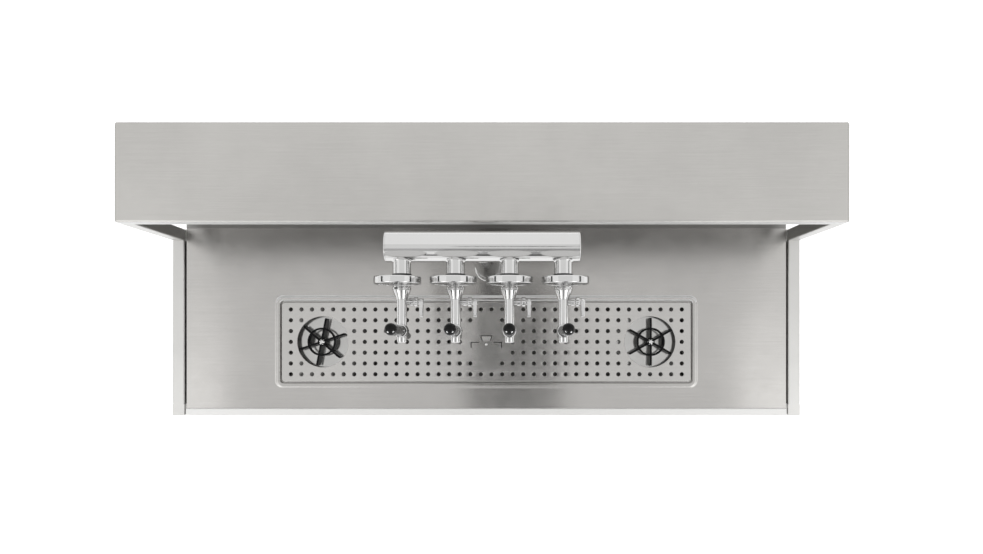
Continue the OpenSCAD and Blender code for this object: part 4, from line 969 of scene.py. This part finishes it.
class COUNTER_OT_grille(Operator):
    """Build the perforated grille with its folded edge, slots, finger tongue and rivet head."""
    bl_idname = "counter.grille"
    bl_label = "Grille"

    def execute(self, context):
        s = context.scene.grille_sizes
        low, high = GRILLE
        size = high - low
        top, under, foot = 0.0, -s.sheet, low[2] - high[2]
        origin = np.array([*middle("grille")[:2], high[2]])
        wells = np.array([[-RINSER_X, 0], [RINSER_X, 0]])
        kinds = ((self.drain_holes(s, size), s.hole / 2, 24), (wells, s.rinser / 2, 96))
        slots = self.slots(s)
        wide = [loop for centres, radius, count in kinds for loop in circles(centres, radius + s.lip, count)]
        tight = [loop for centres, radius, count in kinds for loop in circles(centres, radius, count)]
        inner = rounded(size[0] - 2 * s.sheet, size[1] - 2 * s.sheet, s.corner - s.sheet)
        shells = [filled(inner, wide + slots, top, True), filled(inner, tight + slots, under, False)]
        for centres, radius, count in kinds:
            rows = [at_height(circles(centres, radius + s.lip, count), top),
                    at_height(circles(centres, radius, count), top - s.lip),
                    at_height(circles(centres, radius, count), under)]
            shells.append(hole_walls(np.stack(rows, 1)))
        for loop in slots:
            shells.append(hole_walls(np.stack([at_height(loop, top), at_height(loop, under)])[None]))
        edge = filleted([(s.sheet, under, 0), (s.sheet, foot, 0), (0, foot, 0), (0, top, s.sheet),
                         (s.sheet, top, 0)])
        edge[-1] = (s.sheet, top)
        shells.append(loft(rim_rows(size, s.corner, edge * [-1, 1]), caps=False))
        placed = [(points + origin, faces) for points, faces in shells]
        made = piece("grille_plate", placed, "grille", "grille", "brushed_steel", "grille", sharp=60)
        # The grille's underside gets painted shade, which also darkens the tray below
        refinish(made, under=facing_down)
        self.tongue(s, origin)
        return {"FINISHED"}

    def drain_holes(self, s, size):
        """Centres of the drain holes: a grid without the rinser openings and the plain middle."""
        columns = math.floor((size[0] - 2 * s.margin) / s.pitch_x + 1e-6) + 1
        rows = math.floor((size[1] - 2 * s.margin) / s.pitch_y + 1e-6) + 1
        x, y = np.meshgrid((np.arange(columns) - (columns - 1) / 2) * s.pitch_x,
                           (np.arange(rows) - (rows - 1) / 2) * s.pitch_y)
        clear = np.hypot(np.abs(x) - RINSER_X, y) > (s.rinser + s.hole) / 2 + s.bridge
        return np.stack([x, y], -1)[clear & (np.hypot(x, y) > s.plain)]

    def slots(self, s):
        """Outlines of the cuts around the lifting tab: two L-shaped slots and the tongue's opening."""
        half, cut, leg = s.tab / 2, s.slot, s.tab_leg
        inner = half - s.tab_arm
        right = np.array([(half, -leg), (half, 0), (inner, 0), (inner, -cut), (half - cut, -cut),
                          (half - cut, -leg)])
        left = (right * [-1, 1])[::-1]
        far, foot = s.tongue_far / 2, s.tongue_foot / 2
        end = cut + s.tongue
        tongue = np.array([(-foot, cut), (foot, cut), (far, end), (-far, end)])
        return [right, left, tongue]

    def tongue(self, s, origin):
        """Finger tongue bent up from its foot, and the rivet head in front of it."""
        far, foot = s.tongue_far / 2 - s.slot, s.tongue_foot / 2 - s.slot
        start, end = s.slot, s.tongue
        outline = filleted([(-foot, start, 0.3 * MM), (foot, start, 0.3 * MM), (far, end, 1.2 * MM),
                            (-far, end, 1.2 * MM)], 4, True)
        points, faces = plate(outline, s.sheet, 0.3 * MM)
        points[:, 2] += s.tongue_rise * (points[:, 1] - start) / (end - start) - s.sheet / 2
        r = s.bead / 2
        bead = turned([(r * 0.98, -0.2 * MM, 0), (r, 0.6 * r, 0.5 * r), (0, 0.95 * r, 0)], 32)
        piece("grip_tongue", [(points + origin, faces)], "grille", "grille", "polished_steel", "grille_grip")
        points, faces = bead
        polished("grip_bead", [(points + origin + [0, -s.slot - r - 0.5 * MM, 0], faces)], body="grille")


class COUNTER_OT_rinsers(Operator):
    """Build the two glass rinsers: moulded stars with upright arms, and domed spray nozzles."""
    bl_idname = "counter.rinsers"
    bl_label = "Glass rinsers"

    def execute(self, context):
        s = context.scene.rinser_sizes
        for side, turn in (("left", s.left_turn), ("right", 0.0)):
            star_low, star_high = extent(f"{side}_rinser_star")
            origin = np.array([*middle(f"{side}_nozzle")[:2], star_high[2]])
            foot = star_low[2] - star_high[2]
            star = self.star(s, origin, foot, turn)
            piece(f"{side}_star", star, "star", f"{side}_rinser", "black_matte", f"{side}_rinser_star")
            nozzle = self.nozzle(origin, *extent(f"{side}_nozzle"))
            polished(f"{side}_spray_nozzle", nozzle, f"{side}_nozzle", body=f"{side}_rinser")
        return {"FINISHED"}

    def star(self, s, origin, foot, turn):
        """Hub, arms, ring and guide legs."""
        inner, bore, slant, tip, soft = 9 * MM, 4.05 * MM, 10 * MM, 4 * MM, 2 * MM
        hub_top, hub_foot = -7 * MM, -s.arm_height - MM
        ring_top, ring_foot, leg_top = -2 * MM, -12 * MM, -10 * MM
        outline = filleted([(inner, -s.arm_height, MM), (s.star - slant, -s.arm_height, soft),
                            (s.star, slant - s.arm_height, soft), (s.star, -tip, soft),
                            (s.star - tip, 0, soft), (inner, 0, MM)], 4, True)
        arm = plate(outline, s.arm, s.edge)
        angles = turn + (np.arange(s.arms) + 0.5) * 2 * np.pi / s.arms
        shells = [set_on(arm, np.array([math.cos(a), math.sin(a), 0]), UP, origin) for a in angles]
        hub = turned([(bore, hub_foot, 0), (s.hub, hub_foot, s.edge), (s.hub, hub_top, s.edge),
                      (bore, hub_top, 0)], 40, 3, True)
        shells.append(pointed(hub, UP, origin))
        r_in, r_out = s.ring - s.ring_wall, s.ring
        ring = turned([(r_in, ring_foot, s.edge), (r_out, ring_foot, s.edge), (r_out, ring_top, s.edge),
                       (r_in, ring_top, s.edge)], 80, 3, True)
        shells.append(pointed(ring, UP, origin))
        half = math.asin(s.leg / 2 / s.ring)
        section = rounded(s.ring_wall, 2 * half * s.ring, s.edge, 3)
        for side in (0, np.pi):
            a = turn + side + section[:, 1] / s.ring
            r = s.ring - s.ring_wall / 2 + section[:, 0]
            flat = np.stack([r * np.cos(a), r * np.sin(a)], -1)[::-1]
            shells.append(pointed(loft(np.stack([at_height(flat, z) for z in (leg_top, foot)])), UP, origin))
        return shells

    def nozzle(self, origin, low, high):
        """Stem and spray dome with a shallow middle dimple."""
        r = (high[0] - low[0]) / 2
        top, foot = high[2] - origin[2], low[2] - origin[2]
        stem, rim, dimple = 4 * MM, -7 * MM, top - 0.8 * MM
        dome = turned([(0, foot, 0), (stem, foot, 0.5 * MM), (stem, rim, 0), (r, rim, 0.4 * MM),
                       (r, rim + 2.6 * MM, 1.6 * MM), (0.45 * r, top, 2 * MM), (0.22 * r, top, 0.5 * MM),
                       (0.18 * r, dimple, 0.2 * MM), (0, dimple, 0)], 40, 5)
        return [pointed(dome, UP, origin)]


class COUNTER_OT_tower(Operator):
    """Build the tower: column, manifold and welded stubs, end caps and collar."""
    bl_idname = "counter.tower"
    bl_label = "Tower"

    def execute(self, context):
        s = context.scene.tower_sizes
        radius = TOWER[1][1] - TOWER_Y
        half = (TOWER[1][0] - TOWER[0][0]) / 2
        axis = np.array([TOWER_X, TOWER_Y, TAP_Z])
        bore, foot = s.column - 2 * MM, TOWER[0][2]
        column = turned([(bore, TAP_Z, 0), (bore, foot, 0), (s.column, foot, 0.5 * MM),
                         (s.column, TAP_Z, 0)], 96)
        pipe = turned([(0, -half, 0), (radius, -half, 0), (radius, half, 0), (0, half, 0)], 128)
        shells = [pointed(column, UP, [TOWER_X, TOWER_Y, 0]), pointed(pipe, RIGHT, axis)]
        reach = TOWER_Y - SEALS[1][1]
        shells += [self.stub(s, radius, reach, np.array([PIVOTS[i][0], TOWER_Y, TAP_Z])) for i in TAPS]
        shells.append(self.bead(s, radius, axis))
        polished("tower_pipes", shells, "tower")
        self.caps(half, radius, axis)
        self.collar(s)
        return {"FINISHED"}

    def stub(self, s, radius, reach, origin):
        """Stub with a weld fillet: its radius grows by a quarter arc towards the manifold, whose cylinder
        gives the fillet's foot as the root of R squared less (r sin a) squared."""
        a = np.linspace(0, 2 * np.pi, 64, endpoint=False)[None]
        t = np.linspace(0, 1, 9)[:, None]
        flare = s.stub + s.weld * (1 - np.sin(t * np.pi / 2))
        out = np.sqrt(radius ** 2 - (flare * np.sin(a)) ** 2) + s.weld * (1 - np.cos(t * np.pi / 2))
        sunk = out[:1] - 2 * MM
        edge = 0.8 * MM
        straight = np.array([[s.stub, reach - edge], [s.stub - 0.3 * edge, reach - 0.3 * edge],
                             [s.stub - edge, reach]])
        r = np.concatenate([flare[:1], flare, straight[:, :1]])
        u = np.concatenate([sunk, out, np.broadcast_to(straight[:, 1:], (3, 64))])
        points = np.stack([r * np.cos(a), r * np.sin(a), u], -1)
        return pointed(loft(points), OPERATOR, origin)

    def bead(self, s, radius, axis):
        """Weld bead along the meeting line of the column and the manifold's underside."""
        a = np.linspace(0, 2 * np.pi, 96, endpoint=False)
        x, y = s.column * np.cos(a), s.column * np.sin(a)
        path = np.stack([x, y, -np.sqrt(radius ** 2 - y ** 2)], -1)
        points, faces = swept_ring(path, np.zeros(3), s.bead)
        return points + axis, faces

    def caps(self, half, radius, axis):
        """Round end caps with soft rims."""
        t, seam, step = CAPS[1][0] - TOWER_X - half, 0.15 * MM, radius - 2 * MM
        profile = filleted([(step, -MM, 0), (step, seam, 0), (radius, seam, 0.2 * MM),
                            (radius, t, 1.4 * MM), (0, t, 0)], 5)
        profile = np.concatenate([[(0, -MM)], profile])
        shells = [pointed(lathe(profile, 128), d, axis + d * half) for d in (LEFT, RIGHT)]
        polished("pipe_end_caps", shells, "manifold_caps")

    def collar(self, s):
        """Ring around the column's foot."""
        outer, top = COLLAR[1][0] - TOWER_X, COLLAR[1][2] - SURFACE
        inner = s.column + 0.2 * MM
        ring = turned([(inner, 0, 0), (outer, 0, 0), (outer, top, s.collar_edge), (inner, top, 0.4 * MM)],
                      96, 6, True)
        polished("column_collar", [pointed(ring, UP, [TOWER_X, TOWER_Y, SURFACE])], "tower_collar")


class COUNTER_OT_tap_rings(Operator):
    """Build the seals, the rings with their blank badge discs and the coupling nuts behind the taps."""
    bl_idname = "counter.tap_rings"
    bl_label = "Tap seals, discs and nuts"

    def execute(self, context):
        s = context.scene.tap_sizes
        seals = self.on_taps(SEALS, self.seal(s))
        piece("stub_seals", seals, "rubber", "counter", "black_rubber", "tap_seals")
        polished("tap_disc_set", self.on_taps(DISCS, self.disc(s)), "tap_discs")
        polished("coupling_nut_set", self.on_taps(NUTS, self.nut(s)), "coupling_nuts")
        return {"FINISHED"}

    def on_taps(self, node_extent, shells):
        """Like shells on each tap's axis, from the back face of a ring-shaped node."""
        backs = [np.array([PIVOTS[i][0], node_extent[1][1], TAP_Z]) for i in TAPS]
        return [pointed(shell, OPERATOR, back) for back in backs for shell in shells]

    def seal(self, s):
        """Flat rubber ring with a soft lip that laps over the stub and the disc's ring."""
        t, ring = SEALS[1][1] - SEALS[0][1], TAP_Z - DISCS[0][2]
        lap, lip, soft = 1.1 * MM, ring + 0.5 * MM, 0.9 * MM
        return [turned([(s.tail, 0, 0), (s.tail + MM, -lap, 0), (lip, -lap, soft), (lip, t + lap, soft),
                        (s.tail + MM, t + lap, 0), (s.tail, t, 0)], 56, 4, True)]

    def disc(self, s):
        """Ring on the tap's axis, and a blank badge disc that stands on it: round rim and dished face."""
        t, ring = DISCS[1][1] - DISCS[0][1], TAP_Z - DISCS[0][2]
        r = DISCS[1][0] - PIVOTS[4][0]
        rise = DISCS[1][2] - r - TAP_Z
        face, dish, soft = r - s.disc_rim, t - s.disc_dish, 0.8 * MM
        collar = turned([(s.tail, 0, 0), (ring, 0, soft), (ring, t, soft), (s.tail, t, 0)], 56, 4, True)
        points, faces = turned([(0, s.disc_step, 0), (r, s.disc_step, s.disc_edge), (r, t, s.disc_edge),
                                (face, t, soft), (face - s.disc_dish, dish, MM), (0, dish, 0)], 96)
        return [collar, (points + [0, rise, 0], faces)]

    def nut(self, s):
        """Round nut on a neck with six flats: the radius is at most the flat's distance over the cosine of
        the angle from the flat's middle."""
        r, t = (NUTS[1][2] - NUTS[0][2]) / 2, NUTS[1][1] - NUTS[0][1]
        neck, soft = r - 2 * MM, 0.9 * MM

        def flats(radius, height, angle):
            off = (angle + np.pi / 6) % (np.pi / 3) - np.pi / 6
            return np.where(height > s.nut_neck, np.minimum(radius, (r - s.nut_flat) / np.cos(off)), radius)

        return [turned([(s.tail, 0, 0), (neck, 0, 0), (neck, s.nut_neck, 0.3 * MM), (r, s.nut_neck, soft),
                        (r, t, soft), (s.tail, t, 0)], 96, 4, True, flats)]


class COUNTER_OT_taps(Operator):
    """Build the tap bodies with cone, barrel, valve head and bosses, the spouts and the pivot pins."""
    bl_idname = "counter.taps"
    bl_label = "Taps"

    def execute(self, context):
        s = context.scene.tap_sizes
        lean = np.array([0, -math.sin(s.lean), -math.cos(s.lean)])
        boss = turned([(0, 0, 0), (s.boss, 0, 0), (s.boss, s.boss_length, 0.5 * MM),
                       (0, s.boss_length, 0)], 40)
        heads = {i: np.array([PIVOTS[i][0], PIVOTS[i][1], TAP_Z]) for i in TAPS}
        for i, head in heads.items():
            flow = np.array([PIVOTS[i][0], FLOW_AXES[i][1], TAP_Z])
            shells = [self.barrel(s, head), self.head(s, head), pointed(boss, lean, head),
                      pointed(self.flow_boss(s), RIGHT, flow)]
            polished(f"tap_{i}", shells, f"tap_body_{i}")
        spouts = [pointed(self.spout(s), lean, head + lean * s.boss_length) for head in heads.values()]
        polished("spout_set", spouts, "spouts")
        pin = context.scene.handle_sizes.pin
        half = extent("pivot_pins")[1][0] - PIVOTS[4][0]
        rod = turned([(0, -half, 0), (pin, -half, 0.3 * MM), (pin, half, 0.3 * MM), (0, half, 0)], 24, 3)
        polished("pivot_pin_set", [pointed(rod, RIGHT, PIVOTS[i]) for i in TAPS], "pivot_pins")
        return {"FINISHED"}

    def flow_boss(self, s):
        """Boss of the flow lever: neck, land, groove and round gland."""
        foot = s.flow_reach - s.gland_length
        neck, land, groove = 0.72 * s.flow_boss, 15 * MM, foot - 1.6 * MM
        return turned([(0, 0, 0), (neck, 0, 0), (neck, land, 0.4 * MM), (s.flow_boss, land, 0.8 * MM),
                       (s.flow_boss, groove, 0.8 * MM), (neck, groove, 0.2 * MM), (neck, foot, 0.2 * MM),
                       (s.gland, foot, 2.4 * MM), (s.gland, s.flow_reach, 2.4 * MM),
                       (0, s.flow_reach, 0)], 48)

    def barrel(self, s, head):
        """Tail, cone with two lands, barrel and front cap, turned about the tap's axis."""
        start = np.array([head[0], NUTS[0][1], TAP_Z])
        tail, sunk, land = s.tail - 0.2 * MM, -30 * MM, 2 * MM
        end = start[1] - head[1]
        front = end + s.nose_length
        neck = s.barrel + MM
        barrel = turned([(0, sunk, 0), (tail, sunk, 0), (tail, 0, 0), (s.cone_radius, 0, 0.6 * MM),
                         (s.cone_radius, land, 0.8 * MM), (neck, s.cone - land, 1.5 * MM),
                         (neck, s.cone, 0.5 * MM), (s.barrel, s.cone, 0.2 * MM), (s.barrel, end, 0),
                         (s.nose, end, 0), (s.nose, front, 3 * MM), (0, front, 0)], 56, 5)
        return pointed(barrel, OPERATOR, start)

    def head(self, s, place):
        """Valve head, round below, with a cup above and a slot towards the operator. Columns inside the slot
        keep to straight lines across it and stay below its floor."""
        r, top = s.head, s.head_top
        a = np.linspace(-np.pi / 2, 0, 13)
        bowl = np.stack([r * np.cos(a), r * np.sin(a) - s.head_drop], -1)
        rim = filleted([(r, -s.head_drop, 0), (r, top, 1.4 * MM), (s.cup, top, 0.8 * MM),
                        (s.cup, s.cup_floor, 1.5 * MM), (0, s.cup_floor, 0)], 6)
        walls = np.linspace(0.02, 0.98, 6)[:, None]
        profile = np.concatenate([bowl, rim[:1] + (rim[1:2] - rim[:1]) * walls, rim[1:]])
        spread = np.maximum(profile[:, :1], s.cup)
        across = np.linspace(-s.slot / 2, s.slot / 2, 9)[None]
        slot_angle = -np.pi / 2 + np.arcsin(across / spread)
        rest = np.linspace(0, 1, 49)[None]
        reach = np.arcsin(s.slot / 2 / spread)
        rest_angle = -np.pi / 2 + reach + rest * (2 * np.pi - 2 * reach)
        angle = np.concatenate([slot_angle, rest_angle], 1)
        height = np.broadcast_to(profile[:, 1:], angle.shape).copy()
        height[:, :across.size] = np.minimum(height[:, :across.size], s.slot_floor)
        points = np.stack([profile[:, :1] * np.cos(angle), profile[:, :1] * np.sin(angle), height], -1)
        return pointed(loft(points, caps=False), UP, place)

    def spout(self, s):
        """Tapered tube with a collar."""
        end = s.spout_length
        root = s.spout - 1.5 * MM
        return turned([(s.spout_bore, 0, 0), (s.spout, 0, 0.8 * MM), (s.spout, s.spout_collar, 0.9 * MM),
                       (root, s.spout_collar, 0.4 * MM), (s.spout_tip, end, MM),
                       (s.spout_bore, end, 0.4 * MM)], 48, 5, True)


class COUNTER_OT_handles(Operator):
    """Build the handles: a stem with its eye and ferrule, and a long gloss knob."""
    bl_idname = "counter.handles"
    bl_label = "Handles"

    def execute(self, context):
        s = context.scene.handle_sizes
        half = s.eye_width / 2
        eye = turned([(0, -half, 0), (s.eye, -half, MM), (s.eye, half, MM), (0, half, 0)], 40, 4)
        for i in TAPS:
            low, high = extent(f"knob_{i}")
            base, top = low[2] - PIVOTS[i][2], high[2] - PIVOTS[i][2]
            foot = base - s.ferrule_length
            stem = turned([(0, 0, 0), (s.stem, 0, 0), (s.stem, foot, 0.3 * MM), (s.ferrule, foot, 0.8 * MM),
                           (s.ferrule, base, 0.4 * MM), (0, base, 0)], 40, 4)
            shells = [pointed(eye, RIGHT, PIVOTS[i]), pointed(stem, UP, PIVOTS[i])]
            polished(f"handle_{i}_stem", shells, f"handle_stem_{i}", body=f"handle_{i}")
            knob = pointed(lathe(self.knob(s, base, top), 64), UP, PIVOTS[i])
            made = piece(f"handle_{i}_knob", [knob], "knob", f"handle_{i}", "black_gloss", f"knob_{i}")
            bpy.data.collections["Lit knobs"].objects.link(made)
        return {"FINISHED"}

    def knob(self, s, base, top):
        """Profile that swells from the neck by a sine and ends in a half round."""
        body = top - s.knob
        t = np.linspace(0, 1, 25)
        start, sunk = base + MM, base + 0.02 * MM
        swell = np.stack([s.neck + (s.knob - s.neck) * np.sin(t * np.pi / 2), start + (body - start) * t], -1)
        a = np.linspace(0, np.pi / 2, 17)[1:]
        dome = np.stack([s.knob * np.cos(a), body + s.knob * np.sin(a)], -1)
        rim = filleted([(0, sunk, 0), (s.neck, sunk, 0.7 * MM), (s.neck, start, 0)], 4)
        return np.concatenate([rim[:-1], swell, dome])


class COUNTER_OT_flow_levers(Operator):
    """Build the flow levers: a shaft and hub in the gland and a bar with round rims."""
    bl_idname = "counter.flow_levers"
    bl_label = "Flow levers"

    def execute(self, context):
        s = context.scene.handle_sizes
        big, small, reach = s.lever_root, s.lever_tip, s.lever
        open_angle = math.acos((big - small) / reach)
        root = np.linspace(open_angle, 2 * np.pi - open_angle, 33)
        tip = np.linspace(-open_angle, open_angle, 17)
        outline = np.concatenate([np.stack([big * np.cos(root), big * np.sin(root)], -1),
                                  np.stack([reach + small * np.cos(tip), small * np.sin(tip)], -1)])
        bar = plate(outline, s.lever_width, s.lever_edge, 5)
        for i in TAPS:
            low, high = extent(f"flow_lever_{i}")
            place = np.array([high[0] - MM - s.lever_width / 2, *FLOW_AXES[i][1:]])
            hub_foot = place[0] - s.lever_width / 2 - 2 * MM
            shaft, start, end = 3 * MM, low[0] - hub_foot, high[0] - hub_foot
            hub = turned([(0, start, 0), (shaft, start, 0), (shaft, 0, 0), (s.lever_hub, 0, 0.4 * MM),
                          (s.lever_hub, end, 0.8 * MM), (0, end, 0)], 40, 4)
            shells = [set_on(bar, OPERATOR, UP, place), pointed(hub, RIGHT, [hub_foot, *FLOW_AXES[i][1:]])]
            polished(f"flow_{i}_lever", shells, f"flow_lever_{i}", body=f"flow_{i}")
        return {"FINISHED"}


class COUNTER_OT_fittings(Operator):
    """Finish the fittings under the worktop: drain, rinser valves, nuts, lines and barbs."""
    bl_idname = "counter.fittings"
    bl_label = "Fittings"

    def execute(self, context):
        dress("machined", "drain_outlet", "hose_barbs", "clamp_nut", "beer_lines")
        # Pale seat tone paints light into the shaded middle of each rinser
        dress("seat", "rinser_valves")
        dress("plastic", "drain_nut", "rinser_nuts")
        dress("rubber", "line_bush")
        return {"FINISHED"}


STEPS = ("stage", "finishes", "frame", "panels", "bar_shelf", "drip_tray", "grille", "rinsers", "tower",
         "tap_rings", "taps", "handles", "flow_levers", "fittings")


class COUNTER_PT_build(Panel):
    """Lists the steps that build the counter."""
    bl_idname = "COUNTER_PT_build"
    bl_label = "Beer counter"
    bl_space_type = "VIEW_3D"
    bl_region_type = "UI"
    bl_category = "Counter"

    def draw(self, context):
        for step in STEPS:
            self.layout.operator(f"counter.{step}")


CLASSES = (*GROUPS.values(), COUNTER_OT_stage, COUNTER_OT_finishes, COUNTER_OT_frame, COUNTER_OT_panels,
           COUNTER_OT_bar_shelf, COUNTER_OT_drip_tray, COUNTER_OT_grille, COUNTER_OT_rinsers,
           COUNTER_OT_tower, COUNTER_OT_tap_rings, COUNTER_OT_taps, COUNTER_OT_handles,
           COUNTER_OT_flow_levers, COUNTER_OT_fittings, COUNTER_PT_build)


def register():
    """Adds the classes to Blender and the sizes to the scene."""
    for made in CLASSES:
        bpy.utils.register_class(made)
    for name, group in GROUPS.items():
        setattr(bpy.types.Scene, name, PointerProperty(type=group))


def unregister():
    """Takes the sizes and the classes away again."""
    for name in GROUPS:
        delattr(bpy.types.Scene, name)
    for made in reversed(CLASSES):
        bpy.utils.unregister_class(made)


def main():
    """Builds the counter step by step."""
    register()
    for step in STEPS:
        getattr(bpy.ops.counter, step)()


if __name__ == "__main__":
    main()
